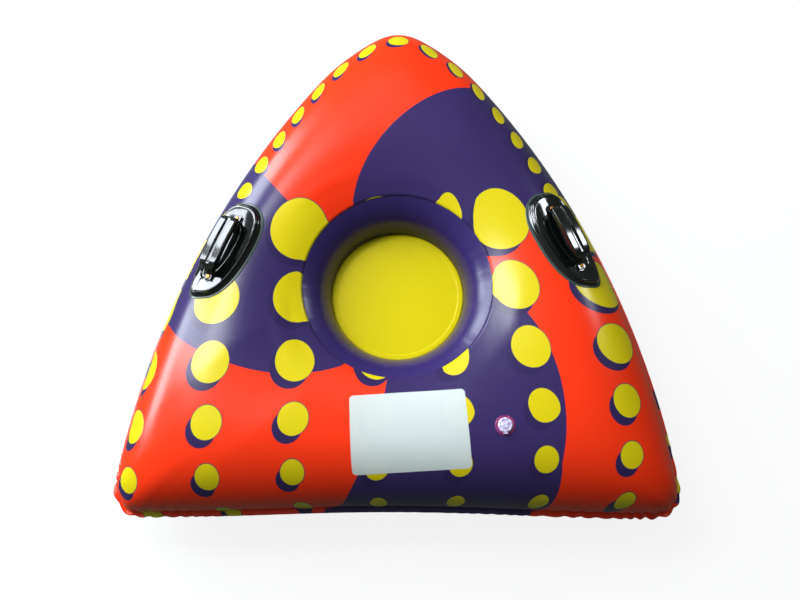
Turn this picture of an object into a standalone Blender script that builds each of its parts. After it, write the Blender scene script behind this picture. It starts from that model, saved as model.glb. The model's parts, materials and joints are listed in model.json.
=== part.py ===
"""Three-cornered inflatable snow tube: welded skin, round seat well, two grab handles and a flush valve.

Metres, +Z up, +Y towards the nose. The origin lies on the snow, under the middle of the overall box.
"""
import math

import bmesh
import bpy
import numpy as np
from mathutils import Matrix, Vector
from mathutils.bvhtree import BVHTree

# Skin, in plan about the seat's axis
SEAM_WIDTH = 1.093  # across the two rear corners
SEAT_TO_NOSE = 0.613
SEAT_TO_TAIL = 0.429  # seat axis to the middle of the tail's seam
TAIL_HOLLOW = 0.012  # the pressure draws the tail's edge in by this between its corners
SIDE_RADIUS = 1.760
NOSE_RADIUS = 0.152
CORNER_RADIUS = 0.046
SEAM_FLANGE = 0.009  # width of the welded edge outside the seam

# Skin, in section over the mid-plane
CREST_LOBE = 0.1205  # at the three lobes
CREST_SIDE = 0.109  # over the narrow sides
CREST_SHARE = 0.45  # of the way from the seat ring to the seam
CREST_POWER = 0.8  # how soon the crest rises as the span grows
CONTACT_DEPTH = 0.0025  # the lobes flatten by this where they stand
SHEET = 0.0008
GAP = 0.0003  # between pieces that touch

# Seat well
SEAT_RADIUS = 0.190  # of the ring seam
RING_RISE = 0.088  # of the ring seam over the mid-plane
FLOOR_RADIUS = 0.137
WALL_BULGE = 0.014  # of the wall's arc towards the well
LAP = 0.010  # width of the welded lap at the ring seam
LAP_SETBACK = 0.001  # the wall's edge stops this far short of it
LAP_SLOPE = math.radians(21)
FLOOR_WELD = 0.010  # width of the flanges under the floor
FLOOR_SHEET = 0.0010
FLOOR_STEP = 0.0008  # how far the floor drops inside its weld
FLOOR_STEP_START = 0.0005
FLOOR_STEP_END = 0.0025

# Handle, along and across its own base
RIGHT_RUN = 0.6790  # along the seam from the nose
LEFT_RUN = 0.7140
HANDLE_LEAN = math.radians(21.5)  # round the section from the crest
HANDLE_LENGTH = 0.211
HANDLE_WIDTH = 0.101
HANDLE_TAPER = 0.10  # the base is broader towards the nose
HANDLE_SAG = 0.024  # at most so far does the skin fall away under it
HANDLE_SKEW = 0.014  # its outboard corner reaches this much further towards the tail
INBOARD_POWER = 2.6  # of the outline: 2 is an ellipse
OUTBOARD_POWER = 3.6
PATCH = 0.0008
PATCH_MARGIN = 0.004  # beyond the base
PATCH_WIDTH = 0.016  # under the base
PATCH_CUT = 0.035  # its cutters reach this far either side of the base's plane
BASE_ROOT = 0.006  # how far it starts under the skin before it is cut to the skin's shape
BASE_EDGE = 0.0022
FLANGE_WIDTH = 0.004
FLANGE_RISE = 0.0006
LIP_HEIGHT = 0.0115
LIP_WIDTH = 0.003
LIP_SLOPE_RUN = 0.002
BAND_INSET = 0.024  # a band slopes from the lip down to the dish
BAND_HEIGHT = 0.0070
DISH_SHIFT = 0.0075  # the dish lies this much outboard of the base's middle
DISH_SHORT = 0.018  # and stops this much sooner at the nose and the tail
DISH_RUN = 0.0025
DISH_FLOOR = 0.0032
DISH_END = 0.0103  # half width of the floor's last loop
BOSS_LENGTH = 0.021
BOSS_WIDTH = 0.024
BOSS_TOP = 0.0085
GRIP_LENGTH = 0.145  # over both feet
GRIP_WIDTH = 0.040
GRIP_SPREAD = (0.82, 0.96, 1.0)  # shares of that width from the legs' tops to the bar
FOOT_WIDTH = 0.017
GROOVE_WIDTH = 0.0075
GROOVE_DEPTH = 0.0045
GRIP_TOP = 0.039
GRIP_THICKNESS = 0.0135
GRIP_CROWN = 0.0015
GRIP_BEVEL = 0.0019
GRIP_SHIFT = 0.004  # the bar lies this much nearer the nose than its feet
LEG_RAKE = 0.005  # over the height of the grip's legs
SHOULDER = (0.006, 0.025)  # drop and run of the bend from leg to bar
UNDERARM = (0.008, 0.024)
FOOT_THICKNESS = 0.004
FOOT_LENGTH = 0.012
RIVET_HEAD_RADIUS = 0.0040
RIVET_HEAD_HEIGHT = 0.0018
RIVET_RADIUS = 0.0022
RIVET_DEPTH = 0.0055  # of the shank into the boss

# Valve, about its own axis
VALVE_RUN = 1.405  # along the seam from the nose
VALVE_LEAN = math.radians(-3.4)
VALVE_FLANGE_RADIUS = 0.0190
VALVE_FLANGE = 0.0012
STEM_RADIUS = 0.0098
STEM_BORE = 0.0070
STEM_DEPTH = 0.0240
STEM_FIT = 0.0007  # between the stem and the hole in the skin
COLLAR_RADIUS = 0.0140
COLLAR = 0.0022
BEAD_RADIUS = 0.0116
BEAD = 0.0025
CAP_RADIUS = 0.0128
CAP = 0.0018
CAP_DOME = 0.0007
PLUG_FIT = 0.0008  # between the plug's root and the bore
PLUG_TAPER = 0.0014
PLUG_LENGTH = 0.0070
CAP_HINGE_REACH = 0.0157
CAP_BARREL = 0.0010
FLAP_RADIUS = 0.0092
FLAP = 0.0010
FLAP_HINGE_REACH = 0.0114
FLAP_BARREL = 0.0009
HINGE_WIDTH = 0.0044
EAR = 0.0018
EAR_ROOT = 0.0030  # how far the ears run back to the stem
HINGE_TAB = 0.0060
CHAMFER = 0.0008

# Fineness of the mesh
STATIONS = 52  # round the skin and the well, a multiple of four
INNER_SHARES = (1.0, 0.6, 0.22)  # of the lean at the lap
OUTER_LEANS = (0, 8, 22, 38, 55, 73, 90)
WALL_STEPS = 6
HANDLE_SIDES = 28
VALVE_SIDES = 24
RIVET_SIDES = 12
SEAM_SAMPLES = 400
CORNER_CROWD = (3.0, 0.07)  # how much closer the stations lie at the corner, and over what length
NOSE_CROWD = (1.9, 0.15)
SEARCH = 0.08  # the skin under a point is sought from this far off

MID = CREST_LOBE - CONTACT_DEPTH
SEAT_Y = (SEAT_TO_TAIL + TAIL_HOLLOW - SEAT_TO_NOSE) / 2
HALF_SEAM = SHEET + GAP / 2  # outer face of a panel's flange over the mid-plane
STACK = GAP + PATCH + GAP  # underside of a handle's base over the skin
FOOT_PLACE = (GRIP_LENGTH - FOOT_LENGTH) / 2  # of each foot of the grip, and of its rivet
CAP_HINGE = GAP + COLLAR + GAP + CAP_BARREL  # height over the valve's seat on its flange
FLAP_HINGE = -STEM_DEPTH - GAP - FLAP_BARREL

parts = None
cutters = None


def clear_scene():
    global parts, cutters
    for thing in list(bpy.data.objects):
        bpy.data.objects.remove(thing, do_unlink=True)
    parts = bpy.data.collections.new("snow_tube")
    cutters = bpy.data.collections.new("cutters")
    bpy.context.scene.collection.children.link(parts)
    bpy.context.scene.collection.children.link(cutters)


def material(name, color, roughness, alpha=1.0, metallic=0.0):
    made = bpy.data.materials.new(name)
    made.use_nodes = True
    shader = made.node_tree.nodes["Principled BSDF"]
    shader.inputs["Base Color"].default_value = (*color, 1.0)
    shader.inputs["Roughness"].default_value = roughness
    shader.inputs["Metallic"].default_value = metallic
    shader.inputs["Alpha"].default_value = alpha
    made.diffuse_color = (*color, alpha)
    return made


def add_mesh(name, bm, collection, finish=None, place=None):
    """Makes an object of a bmesh, at the matrix or the parent given."""
    bm.normal_update()
    mesh = bpy.data.meshes.new(name)
    bm.to_mesh(mesh)
    bm.free()
    made = bpy.data.objects.new(name, mesh)
    collection.objects.link(made)
    if finish:
        mesh.materials.append(finish)
        mesh.shade_smooth()
        mesh.set_sharp_from_angle(angle=math.radians(35))
    else:
        made.hide_render = True
        made.display_type = "WIRE"
    if place:
        made.parent = place
    return made


def add_empty(name, matrix, parent=None):
    made = bpy.data.objects.new(name, None)
    parts.objects.link(made)
    made.parent = parent
    made.matrix_local = matrix
    made.empty_display_size = 0.05
    return made


def combine(made, other, operation):
    modifier = made.modifiers.new(operation.lower(), "BOOLEAN")
    modifier.operation = operation
    modifier.object = other
    modifier.solver = "EXACT"


def thicken(made, thickness, side):
    """Gives a surface its thickness: side -1 is behind its faces, +1 in front."""
    modifier = made.modifiers.new("thickness", "SOLIDIFY")
    modifier.thickness = thickness
    modifier.offset = side
    modifier.use_even_offset = True


# The skin's outline and section


def arc(centre, radius, start, end):
    turn = np.linspace(start, end, SEAM_SAMPLES)[:, None]
    return centre + radius * np.hstack([np.cos(turn), np.sin(turn)])


def seam_outline():
    """Returns the seam in plan as a function of the share of the way round, clockwise from the nose.

    Each half is four tangent stretches: nose arc, long side arc, corner arc and slightly hollow tail.
    Shares run closer together where the mesh is finer, so a second function gives the share at a run.
    """
    nose = np.array([0.0, SEAT_TO_NOSE - NOSE_RADIUS])
    corner = np.array([SEAM_WIDTH / 2 - CORNER_RADIUS, CORNER_RADIUS - SEAT_TO_TAIL - TAIL_HOLLOW])
    to_nose = SIDE_RADIUS - NOSE_RADIUS
    to_corner = SIDE_RADIUS - CORNER_RADIUS
    distance = np.hypot(*(corner - nose))
    ahead = (corner - nose) / distance
    along = (to_nose ** 2 - to_corner ** 2 + distance ** 2) / (2 * distance)
    across = math.sqrt(to_nose ** 2 - along ** 2)
    side = nose + along * ahead + across * np.array([ahead[1], -ahead[0]])
    leave_nose = math.atan2(*(nose - side)[::-1])
    reach_corner = math.atan2(*(corner - side)[::-1])
    tail = np.linspace(1, 0, SEAM_SAMPLES)
    hollow = TAIL_HOLLOW * (1 - np.cos(math.pi * tail)) / 2
    stretches = [
        arc(nose, NOSE_RADIUS, math.pi / 2, leave_nose),
        arc(side, SIDE_RADIUS, leave_nose, reach_corner),
        arc(corner, CORNER_RADIUS, reach_corner, -math.pi / 2),
        np.column_stack([corner[0] * tail, -SEAT_TO_TAIL - hollow]),
    ]
    half = np.vstack(stretches)
    steps = np.hypot(*np.diff(half, axis=0).T)
    run = np.concatenate([[0], np.cumsum(steps)])
    corner_run = run[int(2.5 * SEAM_SAMPLES)]
    crowd = np.ones(len(run))
    crowd += CORNER_CROWD[0] * np.exp(-((run - corner_run) / CORNER_CROWD[1]) ** 2)
    crowd += NOSE_CROWD[0] * np.exp(-(run / NOSE_CROWD[1]) ** 2)
    filled = np.concatenate([[0], np.cumsum((crowd[1:] + crowd[:-1]) * steps)])
    filled /= filled[-1]

    def at(share):
        share %= 1.0
        place = np.interp(2 * min(share, 1 - share), filled, run)
        x = np.interp(place, run, half[:, 0])
        y = np.interp(place, run, half[:, 1])
        return Vector((x if share <= 0.5 else -x, y, 0))

    def share_of(distance):
        return float(np.interp(distance, run, filled)) / 2

    return at, share_of


seam_at, share_at = seam_outline()
REACHES = [seam_at(k / STATIONS).length for k in range(STATIONS)]


def seam_outward(share):
    """Direction square to the seam, in plan."""
    small = 0.2 / STATIONS
    along = seam_at(share + small) - seam_at(share - small)
    return Vector((-along.y, along.x, 0)).normalized()


def crest_height(reach):
    """The skin stands higher where it spans further, up to the same height at all three lobes."""
    share = (reach - min(REACHES)) / (SEAT_TO_NOSE - min(REACHES))
    return CREST_SIDE + (CREST_LOBE - CREST_SIDE) * min(max(share, 0), 1) ** CREST_POWER


def lap_lean(crest):
    return math.acos((RING_RISE + LAP * math.tan(LAP_SLOPE)) / crest)


def skin_point(share, lean):
    """Outer face of the top skin over the mid-plane: lean runs from the lap, below 0, to the seam at 90."""
    turn = math.pi / 2 - 2 * math.pi * share
    lap = (SEAT_RADIUS + LAP) * Vector((math.cos(turn), math.sin(turn), 0))
    seam = seam_at(share)
    crest = crest_height(seam.length)
    if lean < 0:
        across = CREST_SHARE * (1 + math.sin(lean) / math.sin(lap_lean(crest)))
        height = crest * math.cos(lean)
    else:
        across = CREST_SHARE + (1 - CREST_SHARE) * math.sin(lean)
        height = HALF_SEAM + (crest - HALF_SEAM) * math.cos(lean)
    return lap.lerp(seam, across) + Vector((0, 0, height))


def skin_profile(share):
    """Points across the skin at one station, from the seat ring to the edge of the seam flange."""
    turn = math.pi / 2 - 2 * math.pi * share
    ring = SEAT_RADIUS * Vector((math.cos(turn), math.sin(turn), 0)) + Vector((0, 0, RING_RISE))
    lean = lap_lean(crest_height(seam_at(share).length))
    inner = [skin_point(share, -lean * part) for part in INNER_SHARES]
    outer = [skin_point(share, math.radians(angle)) for angle in OUTER_LEANS]
    edge = outer[-1] + SEAM_FLANGE * seam_outward(share)
    return [ring, *inner, *outer, edge]


def skin_surface(upper=True):
    """Open outer surface of a panel: a loft of unlike sections round the seat."""
    bm = bmesh.new()
    grid = []
    for k in range(STATIONS):
        points = skin_profile(k / STATIONS)
        if upper:
            column = [bm.verts.new((p.x, p.y, MID + p.z)) for p in points]
        else:
            column = [bm.verts.new((p.x, p.y, max(MID - p.z, 0))) for p in points]
        grid.append(column)
    for here, there in zip(grid, grid[1:] + grid[:1]):
        for i in range(len(here) - 1):
            corners = [here[i], there[i], there[i + 1], here[i + 1]]
            bm.faces.new(corners if upper else corners[::-1])
    bm.normal_update()
    return bm


def skin_layer(centre, reach, lift):
    """Patch of surface that follows the top skin's facets, lifted off its face."""
    bm = skin_surface()
    raised = [v.co + v.normal * (lift * v.calc_shell_factor()) for v in bm.verts]
    for v, place in zip(bm.verts, raised):
        v.co = place
    far = [f for f in bm.faces if (f.calc_center_median() - centre).length > reach]
    bmesh.ops.delete(bm, geom=far, context="FACES")
    return bm


# Shapes that several pieces share


def loft(loops):
    """Closed body through loops of equal count, with flat ends."""
    bm = bmesh.new()
    rings = [[bm.verts.new(point) for point in loop] for loop in loops]
    for low, high in zip(rings, rings[1:]):
        for k in range(len(low)):
            after = (k + 1) % len(low)
            bm.faces.new([low[k], low[after], high[after], high[k]])
    bm.faces.new(rings[0][::-1])
    bm.faces.new(rings[-1])
    bmesh.ops.recalc_face_normals(bm, faces=bm.faces)
    return bm


def prism(outline, low, high):
    return loft([[(u, v, z) for u, v in outline] for z in (low, high)])


def disc(radius, low, high, sides, centre=(0, 0)):
    """Upright cylinder, as a cutter."""
    bm = bmesh.new()
    place = Matrix.Translation((*centre, (low + high) / 2))
    bmesh.ops.create_cone(bm, cap_ends=True, segments=sides, radius1=radius, radius2=radius,
                          depth=high - low, matrix=place)
    return bm


def turned(name, profile, sides, collection, finish, place):
    """Turns a closed profile, or one that ends on the axis, with a Screw modifier."""
    bm = bmesh.new()
    closed = profile[0] == profile[-1]
    points = profile[:-1] if closed else profile
    verts = [bm.verts.new((r, 0, z)) for r, z in points]
    for a, b in zip(verts, verts[1:] + (verts[:1] if closed else [])):
        bm.edges.new((a, b))
    made = add_mesh(name, bm, collection, finish, place)
    screw = made.modifiers.new("turn", "SCREW")
    screw.steps = screw.render_steps = sides
    screw.use_merge_vertices = True
    screw.merge_threshold = 0.00005
    screw.use_smooth_shade = True
    return made


def spun(name, profile, centre, sides, finish, place):
    """Turned body whose own axis stands off its object's origin."""
    bm = bmesh.new()
    x, y = centre
    verts = [bm.verts.new((x + r, y, z)) for r, z in profile]
    edges = [bm.edges.new(pair) for pair in zip(verts, verts[1:])]
    bmesh.ops.spin(bm, geom=verts + edges, cent=(x, y, 0), axis=(0, 0, 1), angle=2 * math.pi,
                   steps=sides, use_merge=True)
    bmesh.ops.remove_doubles(bm, verts=bm.verts, dist=0.00005)
    bmesh.ops.recalc_face_normals(bm, faces=bm.faces)
    return add_mesh(name, bm, parts, finish, place)


def offset_line(line, distance):
    """Copy of an open line in (r, z), moved to its right by the distance, with mitred corners."""
    moved = []
    for i, (r, z) in enumerate(line):
        before = Vector(line[i]) - Vector(line[i - 1]) if i else None
        after = Vector(line[i + 1]) - Vector(line[i]) if i + 1 < len(line) else None
        runs = [run.normalized() for run in (before, after) if run]
        square = sum((Vector((run.y, -run.x)) for run in runs), Vector((0, 0))).normalized()
        reach = distance / square.dot(Vector((runs[0].y, -runs[0].x)))
        moved.append((r + square.x * reach, z + square.y * reach))
    return moved


def block(low, high):
    bm = bmesh.new()
    size = Vector(high) - Vector(low)
    middle = (Vector(high) + Vector(low)) / 2
    bmesh.ops.create_cube(bm, size=1, matrix=Matrix.Translation(middle) @ Matrix.Diagonal((*size, 1)))
    return bm


def barrel(radius, width, y, z, sides=10):
    """Round bar along X."""
    bm = bmesh.new()
    turn = Matrix.Translation((0, y, z)) @ Matrix.Rotation(math.pi / 2, 4, "Y")
    bmesh.ops.create_cone(bm, cap_ends=True, segments=sides, radius1=radius, radius2=radius,
                          depth=width, matrix=turn)
    return bm


# Skin and seat


def build_panels(seat, finishes):
    top = add_mesh("top_panel", skin_surface(), parts, finishes["print"], seat)
    thicken(top, SHEET, -1)
    bottom = add_mesh("bottom_panel", skin_surface(upper=False), parts, finishes["underside"], seat)
    thicken(bottom, SHEET, -1)
    return top


def wall_line():
    """Well face of a seat wall, from its lap under the panel to the flange under the floor."""
    tuck = SHEET + GAP
    shift = Vector((math.sin(LAP_SLOPE), -math.cos(LAP_SLOPE))) * tuck
    lap_end = LAP - LAP_SETBACK
    lap = Vector((SEAT_RADIUS + lap_end, RING_RISE + lap_end * math.tan(LAP_SLOPE))) + shift
    ring = Vector((SEAT_RADIUS, RING_RISE)) + shift
    foot = Vector((FLOOR_RADIUS, HALF_SEAM))
    chord = foot - ring
    radius = (chord.length ** 2 / 4 + WALL_BULGE ** 2) / (2 * WALL_BULGE)
    outward = Vector((-chord.y, chord.x)).normalized()
    centre = (ring + foot) / 2 + outward * (radius - WALL_BULGE)
    start = math.atan2(ring.y - centre.y, ring.x - centre.x)
    sweep = 2 * math.asin(chord.length / 2 / radius)
    line = [lap]
    for k in range(WALL_STEPS + 1):
        turn = start + sweep * k / WALL_STEPS
        line.append(centre + radius * Vector((math.cos(turn), math.sin(turn))))
    line.append(Vector((FLOOR_RADIUS - FLOOR_WELD, HALF_SEAM)))
    return [(p.x, p.y) for p in line]


def build_seat(seat, finishes):
    face = wall_line()
    back = offset_line(face, -SHEET)
    section = face + back[::-1]
    upper = [(r, MID + z) for r, z in section]
    lower = [(r, MID - z) for r, z in section]
    turned("seat_wall_upper", upper[::-1] + upper[-1:], STATIONS, parts, finishes["wall"], seat)
    turned("seat_wall_lower", lower + lower[:1], STATIONS, parts, finishes["wall"], seat)
    low = MID + HALF_SEAM + GAP
    weld = FLOOR_RADIUS - FLOOR_WELD - GAP
    bend = FLOOR_SHEET * math.tan(math.atan2(FLOOR_STEP, FLOOR_STEP_END - FLOOR_STEP_START) / 2)
    top_line = [
        (FLOOR_RADIUS - GAP, low + FLOOR_SHEET),
        (weld - FLOOR_STEP_START, low + FLOOR_SHEET),
        (weld - FLOOR_STEP_END, low + FLOOR_SHEET - FLOOR_STEP),
        (0, low + FLOOR_SHEET - FLOOR_STEP),
    ]
    under = [
        (0, low - FLOOR_STEP),
        (weld - FLOOR_STEP_END - bend, low - FLOOR_STEP),
        (weld - FLOOR_STEP_START - bend, low),
        (FLOOR_RADIUS - GAP, low),
    ]
    turned("seat_floor", (under + top_line)[::-1], STATIONS, parts, finishes["floor"], seat)


# Handles


def surface_frame(share, lean, skin):
    """Frame on the top skin: X along the skin towards the nose, Z square off it."""
    small = 0.1 / STATIONS
    side = 1 if share > 0.5 else -1
    along = (skin_point(share + small, lean) - skin_point(share - small, lean)) * side
    down = skin_point(share, lean + small) - skin_point(share, lean - small)
    off = along.cross(down).normalized()
    off *= math.copysign(1, off.z)
    along.normalize()
    over = skin_point(share, lean) + Vector((0, 0, MID)) + off * SEARCH
    place = skin.ray_cast(over, -off)[0]
    frame = Matrix((along, off.cross(along), off)).transposed().to_4x4()
    frame.translation = place
    return frame


def skin_height(frame, u, v, skin):
    """Local height of the skin's face at a point of a handle's frame."""
    over = frame @ Vector((u, v, SEARCH))
    hit = skin.ray_cast(over, -frame.col[2].to_3d())[0]
    return (frame.inverted() @ hit).z


def handle_oval(inset, outboard, shift=0, short=0):
    """Outline of the handle's base, drawn in by the inset: bowed inboard, straighter outboard."""
    half_length = HANDLE_LENGTH / 2 - inset - short
    half_width = HANDLE_WIDTH / 2 - inset
    points = []
    for k in range(HANDLE_SIDES):
        turn = 2 * math.pi * (k + 0.5) / HANDLE_SIDES
        c, s = math.cos(turn), math.sin(turn)
        power = 2 / (OUTBOARD_POWER if s * outboard > 0 else INBOARD_POWER)
        u = math.copysign(abs(c) ** power, c)
        v = math.copysign(abs(s) ** power, s)
        skew = HANDLE_SKEW * v * outboard * (1 - u) / 2
        across = half_width * v * (1 + HANDLE_TAPER * u) + shift * outboard
        points.append((half_length * u - skew, across))
    return points


def draped(level, outboard, frame, skin):
    """A base loop that keeps its height over the curved skin."""
    inset, height, *place = level
    outline = handle_oval(inset, outboard, *place)
    return [(u, v, height + skin_height(frame, u, v, skin)) for u, v in outline]


def build_base(side, outboard, place, frame, skin, finishes):
    lip = FLANGE_WIDTH + LIP_SLOPE_RUN
    dish = BAND_INSET + DISH_RUN
    middle = HANDLE_WIDTH / 2
    aside = (DISH_SHIFT, DISH_SHORT)
    levels = [
        (0, -BASE_ROOT),
        (0, STACK + BASE_EDGE),
        (FLANGE_WIDTH, STACK + BASE_EDGE + FLANGE_RISE),
        (lip, LIP_HEIGHT),
        (lip + LIP_WIDTH, LIP_HEIGHT),
        (BAND_INSET, BAND_HEIGHT, *aside),
        (dish, DISH_FLOOR, *aside),
        (middle - DISH_END, DISH_FLOOR, *aside),
    ]
    bm = loft([draped(level, outboard, frame, skin) for level in levels])
    base = add_mesh(side + "_handle_base", bm, parts, finishes["moulding"], place)
    for sign in (1, -1):
        bm = bmesh.new()
        bmesh.ops.create_cone(bm, cap_ends=True, segments=16, radius1=0.5, radius2=0.5, depth=1)
        size = (BOSS_LENGTH, BOSS_WIDTH, BOSS_TOP + BASE_ROOT)
        bmesh.ops.scale(bm, vec=size, verts=bm.verts)
        centre = (sign * FOOT_PLACE, 0, (BOSS_TOP - BASE_ROOT) / 2)
        bmesh.ops.translate(bm, vec=centre, verts=bm.verts)
        combine(base, add_mesh("boss_cutter", bm, cutters, None, place), "UNION")
    depth = 2 * BASE_ROOT + HANDLE_SAG
    under = skin_layer(frame.translation, HANDLE_LENGTH, -depth)
    slab = add_mesh("skin_cutter", under, cutters, None, place.parent)
    thicken(slab, depth + STACK, 1)
    combine(base, slab, "DIFFERENCE")
    for sign in (1, -1):
        hole = disc(RIVET_RADIUS + GAP, BOSS_TOP - RIVET_DEPTH - GAP, GRIP_TOP, RIVET_SIDES,
                    (sign * FOOT_PLACE, 0))
        combine(base, add_mesh("rivet_cutter", hole, cutters, None, place), "DIFFERENCE")
    return base


def build_patch(side, outboard, place, frame, finishes):
    layer = skin_layer(frame.translation, HANDLE_LENGTH, GAP)
    patch = add_mesh(side + "_handle_patch", layer, parts, finishes["patch"], place.parent)
    thicken(patch, PATCH, 1)
    outer = prism(handle_oval(-PATCH_MARGIN, outboard), -PATCH_CUT, PATCH_CUT)
    combine(patch, add_mesh("patch_outer_cutter", outer, cutters, None, place), "INTERSECT")
    inner = prism(handle_oval(PATCH_WIDTH, outboard), -2 * PATCH_CUT, 2 * PATCH_CUT)
    combine(patch, add_mesh("patch_inner_cutter", inner, cutters, None, place), "DIFFERENCE")


def grip_sections():
    """Cross-sections of the grip: flat feet, legs that rake and flare, and a broad crowned bar."""
    end = GRIP_LENGTH / 2
    sole = BOSS_TOP + GAP
    heel = end - FOOT_LENGTH
    under = GRIP_TOP - GRIP_THICKNESS
    drop, run = SHOULDER
    inner_drop, inner_run = UNDERARM
    inner_heel = heel - 2 * LEG_RAKE
    outer = [
        (end, sole + FOOT_THICKNESS),
        (heel, sole + FOOT_THICKNESS),
        (heel - LEG_RAKE, GRIP_TOP - drop),
        (heel - LEG_RAKE - run / 5, GRIP_TOP - drop / 4),
        (heel - LEG_RAKE - run, GRIP_TOP),
    ]
    inner = [
        (end, sole),
        (inner_heel, sole),
        (inner_heel - inner_run / 6, under - inner_drop),
        (inner_heel - inner_run / 2, under - inner_drop / 5),
        (inner_heel - inner_run, under),
    ]
    pairs = list(zip(outer, inner))
    middle = ((0, GRIP_TOP + GRIP_CROWN), (0, under + GRIP_CROWN))
    pairs += [middle] + [((-a, b), (-c, d)) for (a, b), (c, d) in pairs[::-1]]
    pairs[2:-2] = [((a + GRIP_SHIFT, b), (c + GRIP_SHIFT, d)) for (a, b), (c, d) in pairs[2:-2]]
    halves = [FOOT_WIDTH / 2] * 2 + [GRIP_WIDTH / 2 * share for share in GRIP_SPREAD]
    halves += [GRIP_WIDTH / 2] + halves[::-1]
    return [[(a, -half, b), (a, half, b), (c, half, d), (c, -half, d)]
            for half, ((a, b), (c, d)) in zip(halves, pairs)]


def build_grip(side, place, finishes):
    bm = loft(grip_sections())
    grip = add_mesh(side + "_handle_grip", bm, parts, finishes["moulding"], place)
    bevel = grip.modifiers.new("rounding", "BEVEL")
    bevel.width = GRIP_BEVEL
    bevel.segments = 2
    bevel.limit_method = "ANGLE"
    bevel.angle_limit = math.radians(50)
    low = (-GRIP_LENGTH, -GROOVE_WIDTH / 2, GRIP_TOP - GROOVE_DEPTH)
    high = (GRIP_LENGTH, GROOVE_WIDTH / 2, 2 * GRIP_TOP)
    combine(grip, add_mesh("groove_cutter", block(low, high), cutters, None, place), "DIFFERENCE")
    for sign in (1, -1):
        hole = disc(RIVET_RADIUS + GAP, 0, BOSS_TOP + 2 * FOOT_THICKNESS, RIVET_SIDES,
                    (sign * FOOT_PLACE, 0))
        combine(grip, add_mesh("rivet_cutter", hole, cutters, None, place), "DIFFERENCE")


def build_rivets(side, place, finishes):
    """Domed rivets through the feet of the grip into the bosses."""
    seat = BOSS_TOP + GAP + FOOT_THICKNESS + GAP
    profile = [
        (0, BOSS_TOP - RIVET_DEPTH),
        (RIVET_RADIUS, BOSS_TOP - RIVET_DEPTH),
        (RIVET_RADIUS, seat),
        (RIVET_HEAD_RADIUS, seat),
        (RIVET_HEAD_RADIUS, seat + RIVET_HEAD_HEIGHT * 0.35),
        (RIVET_HEAD_RADIUS * 0.7, seat + RIVET_HEAD_HEIGHT * 0.85),
        (0, seat + RIVET_HEAD_HEIGHT),
    ]
    for end, sign in (("nose", 1), ("tail", -1)):
        spun(f"{side}_handle_rivet_{end}", profile, (sign * FOOT_PLACE, 0), RIVET_SIDES,
             finishes["rivet"], place)


def build_handle(side, share, seat, skin, finishes):
    frame = surface_frame(share, HANDLE_LEAN, skin)
    place = add_empty(side + "_handle_frame", frame, seat)
    outboard = math.copysign(1, frame.col[1].x * frame.translation.x)
    build_patch(side, outboard, place, frame, finishes)
    build_base(side, outboard, place, frame, skin, finishes)
    build_grip(side, place, finishes)
    build_rivets(side, place, finishes)
    print(side, "handle at", [round(x, 4) for x in frame.translation + Vector((0, SEAT_Y, 0))],
          "axes", [[round(x, 3) for x in row] for row in frame.to_3x3()])


# Valve


def build_valve(seat, top, skin, finishes):
    centre = skin_point(share_at(VALVE_RUN), VALVE_LEAN) + Vector((0, 0, MID))
    turns = np.linspace(0, 2 * math.pi, VALVE_SIDES)
    over = [centre + Vector((COLLAR_RADIUS * math.cos(a), COLLAR_RADIUS * math.sin(a), SEARCH)) for a in turns]
    over.append(centre + Vector((0, 0, SEARCH)))
    crown = max(skin.ray_cast(place, Vector((0, 0, -1)))[0].z for place in over)
    seat_height = crown + GAP + VALVE_FLANGE + GAP / 3
    frame = Matrix.Translation((centre.x, centre.y, seat_height))
    axis = add_empty("valve_axis", frame, seat)

    hole = STEM_RADIUS + STEM_FIT
    cut = disc(hole, -STEM_DEPTH, STEM_DEPTH, VALVE_SIDES)
    combine(top, add_mesh("valve_hole_cutter", cut, cutters, None, axis), "DIFFERENCE")
    layer = skin_layer(centre, 6 * VALVE_FLANGE_RADIUS, GAP)
    flange = add_mesh("valve_flange", layer, parts, finishes["flange"], seat)
    thicken(flange, VALVE_FLANGE, 1)
    rim = disc(VALVE_FLANGE_RADIUS, -STEM_DEPTH, STEM_DEPTH, VALVE_SIDES)
    combine(flange, add_mesh("flange_rim_cutter", rim, cutters, None, axis), "INTERSECT")
    cut = disc(hole, -STEM_DEPTH, STEM_DEPTH, VALVE_SIDES)
    combine(flange, add_mesh("flange_hole_cutter", cut, cutters, None, axis), "DIFFERENCE")

    build_stem(axis, finishes)
    build_cap(axis, finishes)
    build_flap(axis, finishes)
    print("valve axis at", round(centre.x, 5), round(centre.y + SEAT_Y, 5), "seat", round(seat_height, 5))
    hinge = (centre.y + SEAT_Y - CAP_HINGE_REACH, seat_height + CAP_HINGE)
    print("cap hinge y z", [round(x, 5) for x in hinge])
    hinge = (centre.y + SEAT_Y + FLAP_HINGE_REACH, seat_height + FLAP_HINGE)
    print("flap hinge y z", [round(x, 5) for x in hinge])


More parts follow.
